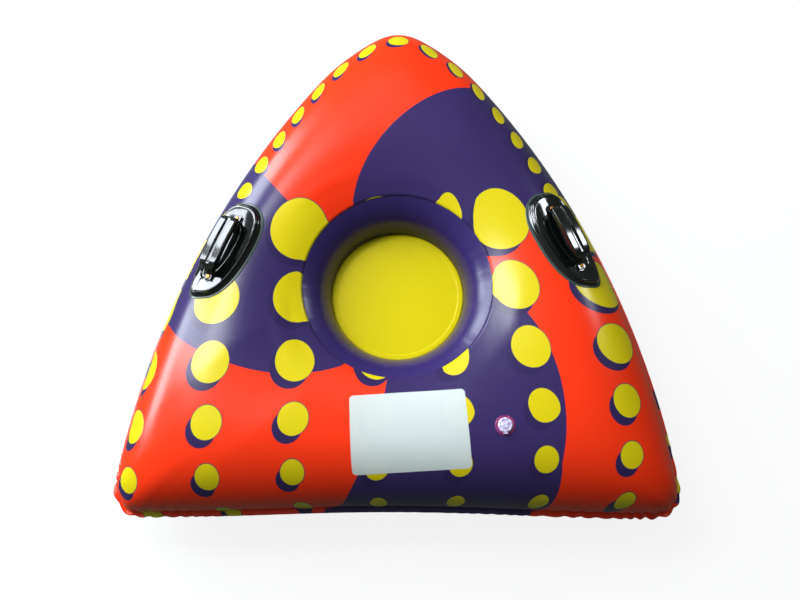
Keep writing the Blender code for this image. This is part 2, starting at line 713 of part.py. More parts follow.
def build_stem(axis, finishes):
    """Soft tube with a collar that rests on the flange and a bead that stops it when pulled out."""
    top = GAP + COLLAR
    profile = [
        (STEM_BORE, top),
        (COLLAR_RADIUS - CHAMFER, top),
        (COLLAR_RADIUS, top - CHAMFER),
        (COLLAR_RADIUS, GAP),
        (STEM_RADIUS, GAP),
        (STEM_RADIUS, -STEM_DEPTH + BEAD),
        (BEAD_RADIUS, -STEM_DEPTH + BEAD * 0.7),
        (BEAD_RADIUS, -STEM_DEPTH),
        (STEM_BORE, -STEM_DEPTH),
        (STEM_BORE, top),
    ]
    stem = turned("valve_stem", profile, VALVE_SIDES, parts, finishes["valve"], axis)
    inside = HINGE_WIDTH / 2 + GAP
    low_root = -STEM_DEPTH + BEAD / 2
    for sign in (1, -1):
        near, far = sorted((sign * inside, sign * (inside + EAR)))
        ears = (
            ((near, -CAP_HINGE_REACH - CAP_BARREL, 2 * GAP),
             (far, -CAP_HINGE_REACH + CAP_BARREL, CAP_HINGE + CAP_BARREL)),
            ((near, -CAP_HINGE_REACH, 2 * GAP), (far, -CAP_HINGE_REACH + EAR_ROOT, top - GAP)),
            ((near, FLAP_HINGE_REACH - FLAP_BARREL, FLAP_HINGE - FLAP_BARREL),
             (far, FLAP_HINGE_REACH + FLAP_BARREL, low_root)),
            ((near, FLAP_HINGE_REACH - EAR_ROOT, -STEM_DEPTH + GAP), (far, FLAP_HINGE_REACH, low_root)),
        )
        for low, high in ears:
            combine(stem, add_mesh("ear_cutter", block(low, high), cutters, None, axis), "UNION")


def build_cap(axis, finishes):
    """Domed cap with a tapered plug, its origin on the film hinge."""
    low = -CAP_BARREL
    plug = STEM_BORE - PLUG_FIT
    profile = [
        (0, low - PLUG_LENGTH),
        (plug - PLUG_TAPER, low - PLUG_LENGTH),
        (plug, low),
        (CAP_RADIUS, low),
        (CAP_RADIUS, low + CAP * 0.6),
        (CAP_RADIUS - CHAMFER, low + CAP),
        (CAP_RADIUS * 0.55, low + CAP + CAP_DOME * 0.8),
        (0, low + CAP + CAP_DOME),
    ]
    pivot = Matrix.Translation((0, -CAP_HINGE_REACH, CAP_HINGE))
    frame = add_empty("cap_hinge_frame", pivot, axis)
    cap = spun("valve_cap", profile, (0, CAP_HINGE_REACH), VALVE_SIDES, finishes["valve"], frame)
    half = HINGE_WIDTH / 2
    tab = block((-half, 0, -CAP_BARREL / 2), (half, HINGE_TAB, CAP_BARREL / 2))
    combine(cap, add_mesh("tab_cutter", tab, cutters, None, frame), "UNION")
    roll = barrel(CAP_BARREL, HINGE_WIDTH, 0, 0)
    combine(cap, add_mesh("barrel_cutter", roll, cutters, None, frame), "UNION")


def build_flap(axis, finishes):
    """One-way flap that lies against the stem's lower end, its origin on its film hinge."""
    pivot = Matrix.Translation((0, FLAP_HINGE_REACH, FLAP_HINGE))
    frame = add_empty("flap_hinge_frame", pivot, axis)
    high = FLAP_BARREL
    profile = [(0, high - FLAP), (FLAP_RADIUS, high - FLAP), (FLAP_RADIUS, high), (0, high)]
    flap = spun("valve_check_flap", profile, (0, -FLAP_HINGE_REACH), VALVE_SIDES, finishes["flap"],
                frame)
    half = HINGE_WIDTH / 2
    tab = block((-half, -HINGE_TAB, -FLAP_BARREL * 0.1), (half, 0, FLAP_BARREL * 0.9))
    combine(flap, add_mesh("tab_cutter", tab, cutters, None, frame), "UNION")
    roll = barrel(FLAP_BARREL, HINGE_WIDTH, 0, 0)
    combine(flap, add_mesh("barrel_cutter", roll, cutters, None, frame), "UNION")


def main():
    clear_scene()
    finishes = {
        "print": material("printed_vinyl", (0.9, 0.07, 0.01), 0.32),
        "underside": material("plain_vinyl", (0.05, 0.03, 0.16), 0.38),
        "wall": material("wall_vinyl", (0.05, 0.03, 0.16), 0.34),
        "floor": material("floor_vinyl", (0.80, 0.62, 0.01), 0.36),
        "patch": material("patch_vinyl", (0.01, 0.01, 0.012), 0.35),
        "moulding": material("black_moulding", (0.008, 0.009, 0.009), 0.15),
        "rivet": material("rivet_brass", (0.62, 0.32, 0.09), 0.35, metallic=1.0),
        "flange": material("flange_vinyl", (0.55, 0.06, 0.20), 0.25, alpha=0.8),
        "valve": material("valve_vinyl", (0.75, 0.70, 0.82), 0.22, alpha=0.8),
        "flap": material("flap_vinyl", (0.70, 0.68, 0.75), 0.30, alpha=0.9),
    }
    seat = add_empty("seat_axis", Matrix.Translation((0, SEAT_Y, 0)))
    surface = skin_surface()
    skin = BVHTree.FromBMesh(surface)
    surface.free()
    top = build_panels(seat, finishes)
    build_seat(seat, finishes)
    build_handle("right", share_at(RIGHT_RUN), seat, skin, finishes)
    build_handle("left", 1 - share_at(LEFT_RUN), seat, skin, finishes)
    build_valve(seat, top, skin, finishes)
    bpy.context.view_layer.update()


main()
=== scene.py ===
# %% [markdown]
# # Three-cornered snow tube
# The tube is a bag of welded vinyl: a printed sheet above, a plain one below, a lined well that the
# rider sits in, two moulded grab handles and one flush valve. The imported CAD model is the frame. It
# fixes every size and place, and each piece made here stands for one of its nodes.

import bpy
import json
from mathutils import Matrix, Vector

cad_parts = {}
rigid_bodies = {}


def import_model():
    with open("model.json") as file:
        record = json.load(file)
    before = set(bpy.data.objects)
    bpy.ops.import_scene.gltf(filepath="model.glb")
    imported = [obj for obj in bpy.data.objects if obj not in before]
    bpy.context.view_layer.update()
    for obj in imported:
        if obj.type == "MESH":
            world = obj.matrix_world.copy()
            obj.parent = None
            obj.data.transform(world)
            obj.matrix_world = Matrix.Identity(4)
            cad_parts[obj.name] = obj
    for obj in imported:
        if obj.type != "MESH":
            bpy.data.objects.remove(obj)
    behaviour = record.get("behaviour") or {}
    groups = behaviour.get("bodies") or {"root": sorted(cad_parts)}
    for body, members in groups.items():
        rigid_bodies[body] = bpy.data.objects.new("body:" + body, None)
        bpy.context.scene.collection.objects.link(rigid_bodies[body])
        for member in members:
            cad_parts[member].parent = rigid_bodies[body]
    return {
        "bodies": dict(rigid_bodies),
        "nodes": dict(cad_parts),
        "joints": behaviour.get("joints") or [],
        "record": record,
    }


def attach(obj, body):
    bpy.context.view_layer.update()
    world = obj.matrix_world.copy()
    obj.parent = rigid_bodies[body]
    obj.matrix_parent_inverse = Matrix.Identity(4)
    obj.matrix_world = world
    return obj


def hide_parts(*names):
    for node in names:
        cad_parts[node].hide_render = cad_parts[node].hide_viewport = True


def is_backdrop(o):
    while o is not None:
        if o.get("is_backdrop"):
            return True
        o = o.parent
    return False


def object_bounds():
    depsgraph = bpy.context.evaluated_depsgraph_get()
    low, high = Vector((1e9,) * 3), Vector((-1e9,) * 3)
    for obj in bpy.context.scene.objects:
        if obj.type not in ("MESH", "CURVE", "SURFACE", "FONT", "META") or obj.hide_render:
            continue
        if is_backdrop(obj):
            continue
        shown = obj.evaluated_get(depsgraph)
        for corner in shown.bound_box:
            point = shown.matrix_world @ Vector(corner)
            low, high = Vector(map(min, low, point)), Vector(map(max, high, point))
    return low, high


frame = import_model()
cad_box = [list(corner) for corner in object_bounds()]
print("frame:", len(frame["nodes"]), "nodes, box", cad_box)

# %% [markdown]
# ## Camera
# The photograph looks steeply down from beyond the tail, so the nose points up the picture. The
# camera's place comes from the overall size and the angle, by fitting the seat ring and the three
# corners. A small shift puts the tube where the photograph has it in the frame.

# %% Camera
import json
import math

import bmesh
import bpy
import numpy as np
from mathutils import Matrix, Vector
from mathutils.bvhtree import BVHTree

SEAT_Y = -0.086  # the seat's axis in the frame
CAMERA_DISTANCE, LOOK_HEIGHT = 1.766, 0.118
AZIMUTH, ELEVATION, ROLL = 1.2, 73.6, 1.0  # in degrees


def put(name, data):
    """Adds an object to the scene."""
    made = bpy.data.objects.new(name, data)
    bpy.context.scene.collection.objects.link(made)
    return made


lens = bpy.data.cameras.new("camera")
lens.sensor_width, lens.lens = 36, 37.98
lens.shift_x, lens.shift_y = 0.0031, -0.0045
camera = put("camera", lens)
place = Matrix.Translation((0, SEAT_Y, LOOK_HEIGHT))
for angle, axis in ((AZIMUTH, "Z"), (90 - ELEVATION, "X"), (-ROLL, "Z")):
    place = place @ Matrix.Rotation(math.radians(angle), 4, axis)
camera.matrix_world = place @ Matrix.Translation((0, 0, CAMERA_DISTANCE))
bpy.context.scene.camera = camera
bpy.context.scene.view_settings.view_transform = "Standard"
print("camera at", [round(x, 3) for x in camera.matrix_world.translation])

# %% [markdown]
# ## Node helpers
# Every finish here is a small node tree. It could be wired by hand in the editor, but in a script a
# few helpers keep it short and readable: one adds a node and feeds its inputs, and a small class
# stands for a number in the tree, so that a formula can be written with plain signs.

# %% Node helpers


class Value:
    """A number in a node tree. Each sign written on it adds a Math node, so formulas read plainly."""

    def __init__(self, socket):
        self.socket = socket

    def do(self, operation, *others, clamp=False):
        return compute(self.socket.id_data, operation, self, *others, clamp=clamp)

    def __add__(self, other):
        return self.do("ADD", other)

    def __sub__(self, other):
        return self.do("SUBTRACT", other)

    def __mul__(self, other):
        return self.do("MULTIPLY", other)

    def __truediv__(self, other):
        return self.do("DIVIDE", other)

    def ramp(self, slope, start):
        """The number times a slope plus a start, kept between 0 and 1."""
        return self.do("MULTIPLY_ADD", slope, start, clamp=True)


def feed(target, value):
    """Feeds an input with another node's output, or sets it to a plain number or colour."""
    value = value.socket if isinstance(value, Value) else value
    if isinstance(value, bpy.types.NodeSocket):
        target.id_data.links.new(value, target)
    else:
        target.default_value = value


def node(tree, kind, inputs=(), **settings):
    """Adds a shader node of a kind, sets its properties, and feeds its inputs."""
    made = tree.nodes.new("ShaderNode" + kind)
    for name, value in settings.items():
        setattr(made, name, value)
    for name, value in dict(inputs).items():
        feed(made.inputs[name], value)
    return made


def compute(tree, operation, *values, clamp=False):
    made = node(tree, "Math", enumerate(values), operation=operation, use_clamp=clamp)
    return Value(made.outputs[0])


def here(tree):
    """The place on the piece, in metres."""
    return node(tree, "TexCoord").outputs["Object"]


def split(tree, spot):
    """The x, y and z of a place."""
    return [Value(socket) for socket in node(tree, "SeparateXYZ", {0: spot}).outputs]


def noise(tree, spot, scale, detail, **more):
    inputs = {"Vector": spot, "Scale": scale, "Detail": detail, **more}
    return Value(node(tree, "TexNoise", inputs).outputs[0])


def blend_colors(tree, share, low, high):
    """Mixes two colours by a share between 0 and 1."""
    return node(tree, "Mix", {0: share, 6: low, 7: high}, data_type="RGBA").outputs[2]


NUMBER, COLOUR, VECTOR = "NodeSocketFloat", "NodeSocketColor", "NodeSocketVector"
print("node helpers ready")

# %% [markdown]
# Some effects serve several materials, so each of them is made once as a group with named sockets.
# A group gives only what changes over the surface, and the shader stays in the material itself.

# %% Group and material helpers


def new_group(name, inputs, outputs):
    """Makes a shader node group. Returns its tree, its inputs by name and what it puts out."""
    tree = bpy.data.node_groups.new(name, "ShaderNodeTree")
    for label, kind, value in inputs:
        made = tree.interface.new_socket(label, in_out="INPUT", socket_type=kind)
        if value is not None:
            made.default_value = value
    for label, kind in outputs:
        tree.interface.new_socket(label, in_out="OUTPUT", socket_type=kind)
    given = {socket.name: Value(socket) for socket in tree.nodes.new("NodeGroupInput").outputs}
    return tree, given, tree.nodes.new("NodeGroupOutput").inputs


def use_group(tree, group, inputs):
    return node(tree, "Group", inputs, node_tree=group).outputs


def new_material(name, **values):
    """A material with its own Principled shader, whose fixed numbers are set on its sockets."""
    made = bpy.data.materials.new(name)
    made.use_nodes = True
    shader = made.node_tree.nodes["Principled BSDF"]
    for label, value in values.items():
        shader.inputs[label.replace("_", " ")].default_value = value
    return made, made.node_tree, shader


def dress(tree, shader, colour, roughness, height, strength=0.12, distance=0.001):
    """Feeds a shader with what changes over the surface: colour, roughness and fine relief."""
    bump = node(tree, "Bump", {"Height": height, "Strength": strength, "Distance": distance})
    for label, value in (("Base Color", colour), ("Roughness", roughness), ("Normal", bump.outputs[0])):
        feed(shader.inputs[label], value)


print("group and material helpers ready")

# %% [markdown]
# ## Light and floor
# The tube was lit by open sky from beyond its nose and its left side. One large lamp stands for that
# sky. Its highlight would spread over the whole crest, so it doesn't show in gloss, and five smaller
# lamps make a bright patch each where the photograph has one. A dim world fills the shade. The floor
# shows white to the camera, but it bounces only a dim light and shows weakly in gloss, or its white
# would wash out the dark colours.

# %% Lamps


def soft_lamp(name, toward, distance, size, power, tint=(1, 1, 1)):
    """A rectangular lamp that shines on the tube from a direction."""
    made = bpy.data.lights.new(name, "AREA")
    made.shape, made.size, made.size_y = "RECTANGLE", *size
    made.energy, made.color = power, tint
    lamp = put(name, made)
    direction = Vector(toward).normalized()
    lamp.location = Vector((0, SEAT_Y, 0.2)) + direction * distance
    lamp.rotation_euler = direction.to_track_quat("Z", "Y").to_euler()
    return lamp


WINDOW_DISTANCE = 3.2
WINDOWS = {  # direction, width and height, watts, tint
    "low_window": ((-0.699, 0.619, 0.358), (1.0, 1.4), 62, (0.86, 0.92, 1.0)),
    "left_window": ((-0.735, 0.305, 0.605), (0.55, 2.3), 52, (0.86, 0.92, 1.0)),
    "high_window": ((-0.418, 0.326, 0.848), (1.0, 0.8), 34, (0.90, 0.94, 1.0)),
    "edge_window": ((-0.930, 0.280, 0.200), (1.3, 0.7), 42, (0.86, 0.92, 1.0)),
    "right_window": ((0.719, 0.467, 0.515), (0.34, 0.5), 12, (0.90, 0.94, 1.0)),
}
for name, (toward, size, power, tint) in WINDOWS.items():
    soft_lamp(name, toward, WINDOW_DISTANCE, size, power, tint)
soft_lamp("sky_lamp", (-0.22, 0.60, 0.77), 3.4, (2.6, 2.0), 46).visible_glossy = False
print("lamps:", len(WINDOWS) + 1)

# %% World and floor
IN_GLOSS, SKY_IN_GLOSS = 0.08, 0.5  # how much of the white backdrop and of the sky shows in reflections
BRIGHT_SIDE, SKY_CROWDING = (-0.62, 0.50, 0.60), 2.5
SKY_STRENGTH, SHADE_STRENGTH = 0.55, 0.030
FLOOR_GLOW = 0.86  # how much of the floor's white is light of its own, which no shadow dims
SKY_TINT, SHADE_TINT = (0.88, 0.94, 1.0, 1), (0.62, 0.86, 0.66, 1)


def bare_tree(owner):
    owner.use_nodes = True
    owner.node_tree.nodes.clear()
    return owner.node_tree


def end_tree(tree, output, cast, shown):
    """The camera sees one surface and the tube is lit by the other. Gloss mirrors mostly the other."""
    rays = node(tree, "LightPath").outputs
    reflected = Value(rays["Is Glossy Ray"]).do("ADD", rays["Is Transmission Ray"], clamp=True)
    share = reflected.ramp(IN_GLOSS, rays["Is Camera Ray"])
    chosen = node(tree, "MixShader", {0: share, 1: cast.outputs[0], 2: shown.outputs[0]})
    node(tree, output, {"Surface": chosen.outputs[0]})


world = bpy.data.worlds.new("studio")
bpy.context.scene.world = world
sky = bare_tree(world)
toward = node(sky, "TexCoord").outputs["Generated"]
facing = node(sky, "VectorMath", {0: toward, 1: BRIGHT_SIDE}, operation="DOT_PRODUCT")
open_sky = Value(facing.outputs["Value"]).ramp(0.5, 0.5).do("POWER", SKY_CROWDING)
glossy = Value(node(sky, "LightPath").outputs["Is Glossy Ray"])
strength = (open_sky * SKY_STRENGTH + SHADE_STRENGTH) * (glossy * (SKY_IN_GLOSS - 1.0) + 1.0)
tone = blend_colors(sky, open_sky, SHADE_TINT, SKY_TINT)
ambient = node(sky, "Background", {"Color": tone, "Strength": strength})
white = node(sky, "Background", {"Color": (1, 1, 1, 1), "Strength": 1.0})
end_tree(sky, "OutputWorld", ambient, white)

bm = bmesh.new()
bmesh.ops.create_grid(bm, x_segments=1, y_segments=1, size=30)
floor_mesh = bpy.data.meshes.new("floor")
bm.to_mesh(floor_mesh)
bm.free()
floor = put("floor", floor_mesh)
floor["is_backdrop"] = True

paper = bpy.data.materials.new("pale_floor")
tree = bare_tree(paper)
bounce = node(tree, "BsdfDiffuse", {"Color": (0.060, 0.085, 0.050, 1)})
lit = node(tree, "BsdfDiffuse", {"Color": (0.95, 0.95, 0.95, 1)})
glow = node(tree, "Emission", {"Color": (1, 1, 1, 1), "Strength": 1.0})
shown = node(tree, "MixShader", {0: FLOOR_GLOW, 1: lit.outputs[0], 2: glow.outputs[0]})
end_tree(tree, "OutputMaterial", bounce, shown)
floor_mesh.materials.append(paper)
print("world and floor made")

# %% [markdown]
# ## The skin's outline and section
# Seen from above, the welded seam is a rounded triangle: an arc round the nose, two long shallow
# arcs, two tight corners and a tail that the pressure draws in a little. Across the tube, the skin
# rises from the seat ring to a crest and falls to the seam. The same formulas shaped the frame, so
# the fine skin lies on the coarse one.

# %% Outline of the seam
SEAM_WIDTH, SEAT_TO_NOSE, SEAT_TO_TAIL, TAIL_HOLLOW = 1.093, 0.613, 0.429, 0.012
SIDE_RADIUS, NOSE_RADIUS, CORNER_RADIUS = 1.760, 0.152, 0.046
NOSE_PINCH, PINCH_REACH = 0.26, 0.055  # the seam draws the tip of the nose in
SEAM_SAMPLES = 400
CORNER_CROWD, NOSE_CROWD = (3.0, 0.07), (1.9, 0.15)  # more stations there: how many, how far


def on_circle(turn):
    """Points of a circle of radius 1."""
    return np.stack([np.cos(turn), np.sin(turn)], axis=-1)


def arc(centre, radius, start, end):
    return centre + radius * on_circle(np.linspace(start, end, SEAM_SAMPLES))


nose = np.array([0.0, SEAT_TO_NOSE - NOSE_RADIUS])
corner = np.array([SEAM_WIDTH / 2 - CORNER_RADIUS, CORNER_RADIUS - SEAT_TO_TAIL - TAIL_HOLLOW])
to_nose, to_corner = SIDE_RADIUS - NOSE_RADIUS, SIDE_RADIUS - CORNER_RADIUS
gap = np.hypot(*(corner - nose))
ahead = (corner - nose) / gap
along = (to_nose ** 2 - to_corner ** 2 + gap ** 2) / (2 * gap)
aside = math.sqrt(to_nose ** 2 - along ** 2)
side = nose + along * ahead + aside * np.array([ahead[1], -ahead[0]])
leave_nose = math.atan2(*(nose - side)[::-1])
reach_corner = math.atan2(*(corner - side)[::-1])
tail = np.linspace(1, 0, SEAM_SAMPLES)
hollow = TAIL_HOLLOW * (1 - np.cos(math.pi * tail)) / 2
half_seam = np.vstack([
    arc(nose, NOSE_RADIUS, math.pi / 2, leave_nose),
    arc(side, SIDE_RADIUS, leave_nose, reach_corner),
    arc(corner, CORNER_RADIUS, reach_corner, -math.pi / 2),
    np.column_stack([corner[0] * tail, -SEAT_TO_TAIL - hollow]),
])
from_tip = SEAT_TO_NOSE - half_seam[:, 1]
half_seam[:, 0] *= 1 - NOSE_PINCH * np.exp(-(from_tip / PINCH_REACH) ** 2)
steps = np.hypot(*np.diff(half_seam, axis=0).T)
run = np.concatenate([[0], np.cumsum(steps)])
corner_run = run[int(2.5 * SEAM_SAMPLES)]
half_length = run[-1]
crowd = 1
for (more, reach), middle in ((CORNER_CROWD, corner_run), (NOSE_CROWD, 0)):
    crowd = crowd + more * np.exp(-((run - middle) / reach) ** 2)
filled = np.concatenate([[0], np.cumsum((crowd[1:] + crowd[:-1]) * steps)])
filled /= filled[-1]
print("seam: half is", round(half_length, 4), "m, corner at", round(corner_run, 4))


def run_at(share):
    """Distance along the seam from the nose, on either side, at a share of the way round."""
    share = np.asarray(share, float) % 1
    return np.interp(2 * np.minimum(share, 1 - share), filled, run)


def seam_at(share):
    share = np.asarray(share, float) % 1
    place = run_at(share)
    x = np.interp(place, run, half_seam[:, 0]) * np.where(share <= 0.5, 1, -1)
    return np.stack([x, np.interp(place, run, half_seam[:, 1])], axis=-1)

# %% [markdown]
# The crest is lowest over the narrow sides and equally high over the three lobes, which is what the
# tube stands on. Its height is smoothed a little along the way, because a sheet under pressure shows
# no kink. In section the sheet is two quarter waves that meet on the crest.

# %% Section of the skin
CREST_LOBE, CREST_SIDE, CREST_SHARE, CREST_POWER = 0.1205, 0.109, 0.45, 0.8
SEAT_RADIUS, RING_RISE, LAP, LAP_SLOPE = 0.190, 0.088, 0.010, math.radians(21)
SHEET, SEAM_FLANGE, HALF_SEAM = 0.0008, 0.009, 0.00095
MID = CREST_LOBE - 0.0025  # height of the mid-plane: the lobes flatten a little where they stand

FINE, COARSE = 720, 52  # stations round this skin and round the frame's
CREST_SMOOTHINGS = 14
shares = np.arange(FINE) / FINE
reaches = np.linalg.norm(seam_at(np.arange(COARSE) / COARSE), axis=1)
crests = (np.linalg.norm(seam_at(shares), axis=1) - reaches.min()) / (SEAT_TO_NOSE - reaches.min())
crests = CREST_SIDE + (CREST_LOBE - CREST_SIDE) * np.clip(crests, 0, 1) ** CREST_POWER
for _ in range(CREST_SMOOTHINGS):
    crests = (np.roll(crests, 1) + 2 * crests + np.roll(crests, -1)) / 4
crest_table = np.append(crests, crests[0])


def crest_at(share):
    return np.interp(np.asarray(share) % 1 * FINE, np.arange(FINE + 1), crest_table)


def lap_lean(crest):
    """How far before the crest the section starts, as an angle."""
    return np.arccos((RING_RISE + LAP * math.tan(LAP_SLOPE)) / crest)


def skin_at(share, lean):
    """Outer face of the top skin: lean runs from below 0, at the lap, to a right angle at the seam."""
    share, lean = np.broadcast_arrays(np.asarray(share, float), np.asarray(lean, float))
    turn = math.pi / 2 - math.tau * share
    lap = (SEAT_RADIUS + LAP) * on_circle(turn)
    seam, crest = seam_at(share), crest_at(share)
    inner = CREST_SHARE * (1 + np.sin(np.minimum(lean, 0)) / np.sin(lap_lean(crest)))
    outer = CREST_SHARE + (1 - CREST_SHARE) * np.sin(lean)
    over = np.where(lean < 0, inner, outer)[..., None]
    low = np.where(lean < 0, 0, HALF_SEAM)
    height = low + (crest - low) * np.cos(lean)
    flat = lap + (seam - lap) * over + np.array([0, SEAT_Y])
    return np.concatenate([flat, (MID + height)[..., None]], axis=-1)


print("crest from", round(crests.min(), 4), "to", round(crests.max(), 4))

# %% [markdown]
# ## Wrinkles at the seam
# A flat sheet that is blown up gets too long for its own edge, most of all round a tight corner. So
# the weld is drawn into small scallops with sharp notches between, and a wrinkle runs inwards from
# each notch. They follow one uneven wave along the seam, strong at the corners and gone at the nose,
# and both sheets share it because they are welded together.

# %% Wave along the seam
WAVE_PITCH, BARE_STRENGTH = 0.028, 0.03
REACH_TO_NOSE, REACH_TO_TAIL = 0.085, {1: 0.30, -1: 0.15}  # from a corner, on the right and the left


def wave_at(place, side):
    """Notch depth from 0, on a scallop, to 1 in a notch, with how strong the wrinkles are there."""
    shift = place + 0.31 * side
    turn = shift / WAVE_PITCH + 0.42 * np.sin(23 * shift + 0.7) + 0.16 * np.sin(57 * shift + 2.1)
    notch = 1 - np.sqrt(np.cos(math.pi * turn) ** 2 + 0.02)
    toward_tail = np.where(side > 0, REACH_TO_TAIL[1], REACH_TO_TAIL[-1])
    past = place - corner_run
    spread = np.where(past > 0, toward_tail, REACH_TO_NOSE)
    strength = np.exp(-(past / spread) ** 2) * (0.75 + 0.25 * np.sin(37 * shift))
    strength = strength + BARE_STRENGTH * np.clip(place / 0.5, 0, 1)
    return notch, strength, turn


print("about", round(half_length / WAVE_PITCH), "scallops in each half of the seam")

# %% [markdown]
# ## Skin sheets
# Each sheet starts as a circle at the seat ring and is extruded outwards ring by ring, which keeps
# an even net of four-sided faces. A ring's vertices then go to their places by the section formula,
# like a sculptor's move with a number behind it. The first map on the faces is the sheet laid flat,
# in metres, for the print. The second gives the run along the seam and the distance from it.

# %% Places of the skin's rings
inner_parts = np.linspace(1, 0, 13)[:-1]
outer_leans = np.radians(np.concatenate([np.linspace(0, 72, 17), np.linspace(75.5, 90, 6)]))
ring_line = on_circle(math.pi / 2 - math.tau * shares)


def seat_ring(line, radius, height):
    """Places round the seat's axis. The radius or the height may change along the way."""
    radius, height = (np.broadcast_to(x, len(line)) for x in (radius, height))
    return np.column_stack([radius * line[:, 0], radius * line[:, 1] + SEAT_Y, height])


rings = [seat_ring(ring_line, SEAT_RADIUS + step, MID + (RING_RISE + step * math.tan(LAP_SLOPE)))
         for step in (0, LAP / 2)]
rings += [skin_at(shares, -lap_lean(crests) * part) for part in inner_parts]
rings += [skin_at(shares, lean) for lean in outer_leans]
seam_line = seam_at(shares)
tangent = np.roll(seam_line, -1, axis=0) - np.roll(seam_line, 1, axis=0)
outward = np.stack([-tangent[:, 1], tangent[:, 0]], axis=-1)
outward /= np.linalg.norm(outward, axis=1)[:, None]
outward = np.concatenate([outward, np.zeros((FINE, 1))], axis=-1)
seam_ring = len(rings) - 1
rings += [rings[seam_ring] + SEAM_FLANGE * part * outward for part in (0.3, 0.65, 1.0)]
sections = np.array(rings)  # ring, station, coordinate
hops = np.linalg.norm(np.diff(sections, axis=0), axis=2)
spans = np.concatenate([np.zeros((1, FINE)), np.cumsum(hops, axis=0)])
from_seam = spans[seam_ring] - spans
radial = seam_line - ring_line * SEAT_RADIUS
radial /= np.linalg.norm(radial, axis=1)[:, None]
flat_map = ring_line * SEAT_RADIUS + radial * spans[..., None]
sides = np.where(shares <= 0.5, 1.0, -1.0)
runs = run_at(shares)
notch, strength, wave_turn = wave_at(runs, sides)
print("skin:", len(rings), "rings of", FINE, "- sheet is", round(spans[-1].max(), 3), "m at its widest")

# %% Pull the wrinkles into the section
WRINKLE_DEPTH, WRINKLE_REACH, CURL = 0.0062, 0.036, 0.0032
fade = np.exp(-(np.clip(from_seam, 0, None) / WRINKLE_REACH) ** 1.3)
depth = (WRINKLE_DEPTH * strength * notch)[None] * fade
along_step = np.roll(sections, -1, axis=1) - np.roll(sections, 1, axis=1)
across_step = np.gradient(sections, axis=0)
normals = np.cross(across_step, along_step)
normals /= np.linalg.norm(normals, axis=2)[..., None]
normals *= np.sign(normals[len(inner_parts)].mean(axis=0)[2])  # up, near the crest
normals[seam_ring:] = outward
wrinkled = sections - normals * depth[..., None]
curl = (CURL * strength * np.sin(math.tau * wave_turn))[None] * np.clip(-from_seam / SEAM_FLANGE, 0, 1)
wrinkled[..., 2] += curl
print("deepest notch", round(float(depth.max()) * 1000, 1), "mm")

# %% Growing a surface ring by ring


def grow_rings(places):
    """Starts from a circle and extrudes its rim ring by ring. Each vertex goes to its own place."""
    bm = bmesh.new()
    station = bm.verts.layers.int.new("station")
    ring = bm.verts.layers.int.new("ring")
    count = len(places[0])
    bmesh.ops.create_circle(bm, cap_ends=False, segments=count, radius=1)
    for v in bm.verts:
        v[station] = round(math.atan2(v.co.y, v.co.x) / math.tau * count) % count
        v.co = places[0][v[station]]
    edges = list(bm.edges)
    for i in range(1, len(places)):
        grown = bmesh.ops.extrude_edge_only(bm, edges=edges)["geom"]
        for v in grown:
            if isinstance(v, bmesh.types.BMVert):
                v[ring] = i
                v.co = places[i][v[station]]
        edges = [e for e in grown if isinstance(e, bmesh.types.BMEdge)
                 and e.verts[0][ring] == i and e.verts[1][ring] == i]
    bm.normal_update()
    return bm, station, ring


def face_along(bm, share):
    """Turns the sheet over if its faces point the wrong way, by the sum of what share(face) gives."""
    if sum(share(f) for f in bm.faces) < 0:
        bmesh.ops.reverse_faces(bm, faces=bm.faces)


def rim_edges(bm):
    return [e for e in bm.edges if e.is_boundary]


def close_rings(bm, join=False):
    """Fills the first and last rings, or joins them into a loop, and turns every face outwards."""
    if join:
        bmesh.ops.bridge_loops(bm, edges=rim_edges(bm))
    else:
        bmesh.ops.holes_fill(bm, edges=rim_edges(bm), sides=0)
    bmesh.ops.recalc_face_normals(bm, faces=bm.faces)


print("ring helpers ready")


def add_piece(name, bm, cad, body="tube", sheet=0.0, smooth_levels=0):
    """Makes an object of the mesh, rides it on its body, and lets it stand for its CAD node."""
    for f in bm.faces:
        f.smooth = True
    mesh = bpy.data.meshes.new(name)
    bm.to_mesh(mesh)
    bm.free()
    made = put(name, mesh)
    if sheet:
        wall = made.modifiers.new("sheet", "SOLIDIFY")
        wall.thickness, wall.offset = sheet, -1
    if smooth_levels:
        soften = made.modifiers.new("soften", "SUBSURF")
        soften.levels = soften.render_levels = smooth_levels
    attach(made, body)
    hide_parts(cad)
    return made


def coat(material, *pieces):
    for piece in pieces:
        piece.data.materials.append(material)


# %% [markdown]
# ## Soft folds
# Round the well the sheet lies a little loose, in long soft folds. Cloth simulation could raise them,
# but not where the real ones are. So each fold is a low ridge with a place, a height and a length.

# %% Soft folds round the well
FOLDS = (  # distance from the well's middle, height, width, bearing, spread
    (0.243, 0.0034, 0.0090, 208, 20), (0.228, -0.0018, 0.0080, 212, 24), (0.236, 0.0016, 0.0090, 330, 24),
    (0.222, 0.0014, 0.0080, 78, 30), (0.250, 0.0015, 0.0100, 122, 18))
FOLD_DRIFT = 0.0003  # a fold moves outwards by this much for each degree

away = wrinkled[..., :2] - np.array([0, SEAT_Y])
reach = np.hypot(away[..., 0], away[..., 1])
bearing = np.degrees(np.arctan2(away[..., 1], away[..., 0])) % 360
for place, height, width, turn, spread in FOLDS:
    off = (bearing - turn + 180) % 360 - 180
    ridge = np.exp(-((reach - place - FOLD_DRIFT * off) / width) ** 2 - (off / spread) ** 4)
    wrinkled[..., 2] += height * ridge
print("folds made:", len(FOLDS))

# %% Make the two sheets
FLATTEN = 0.0016  # how gently the lower sheet turns flat where it stands


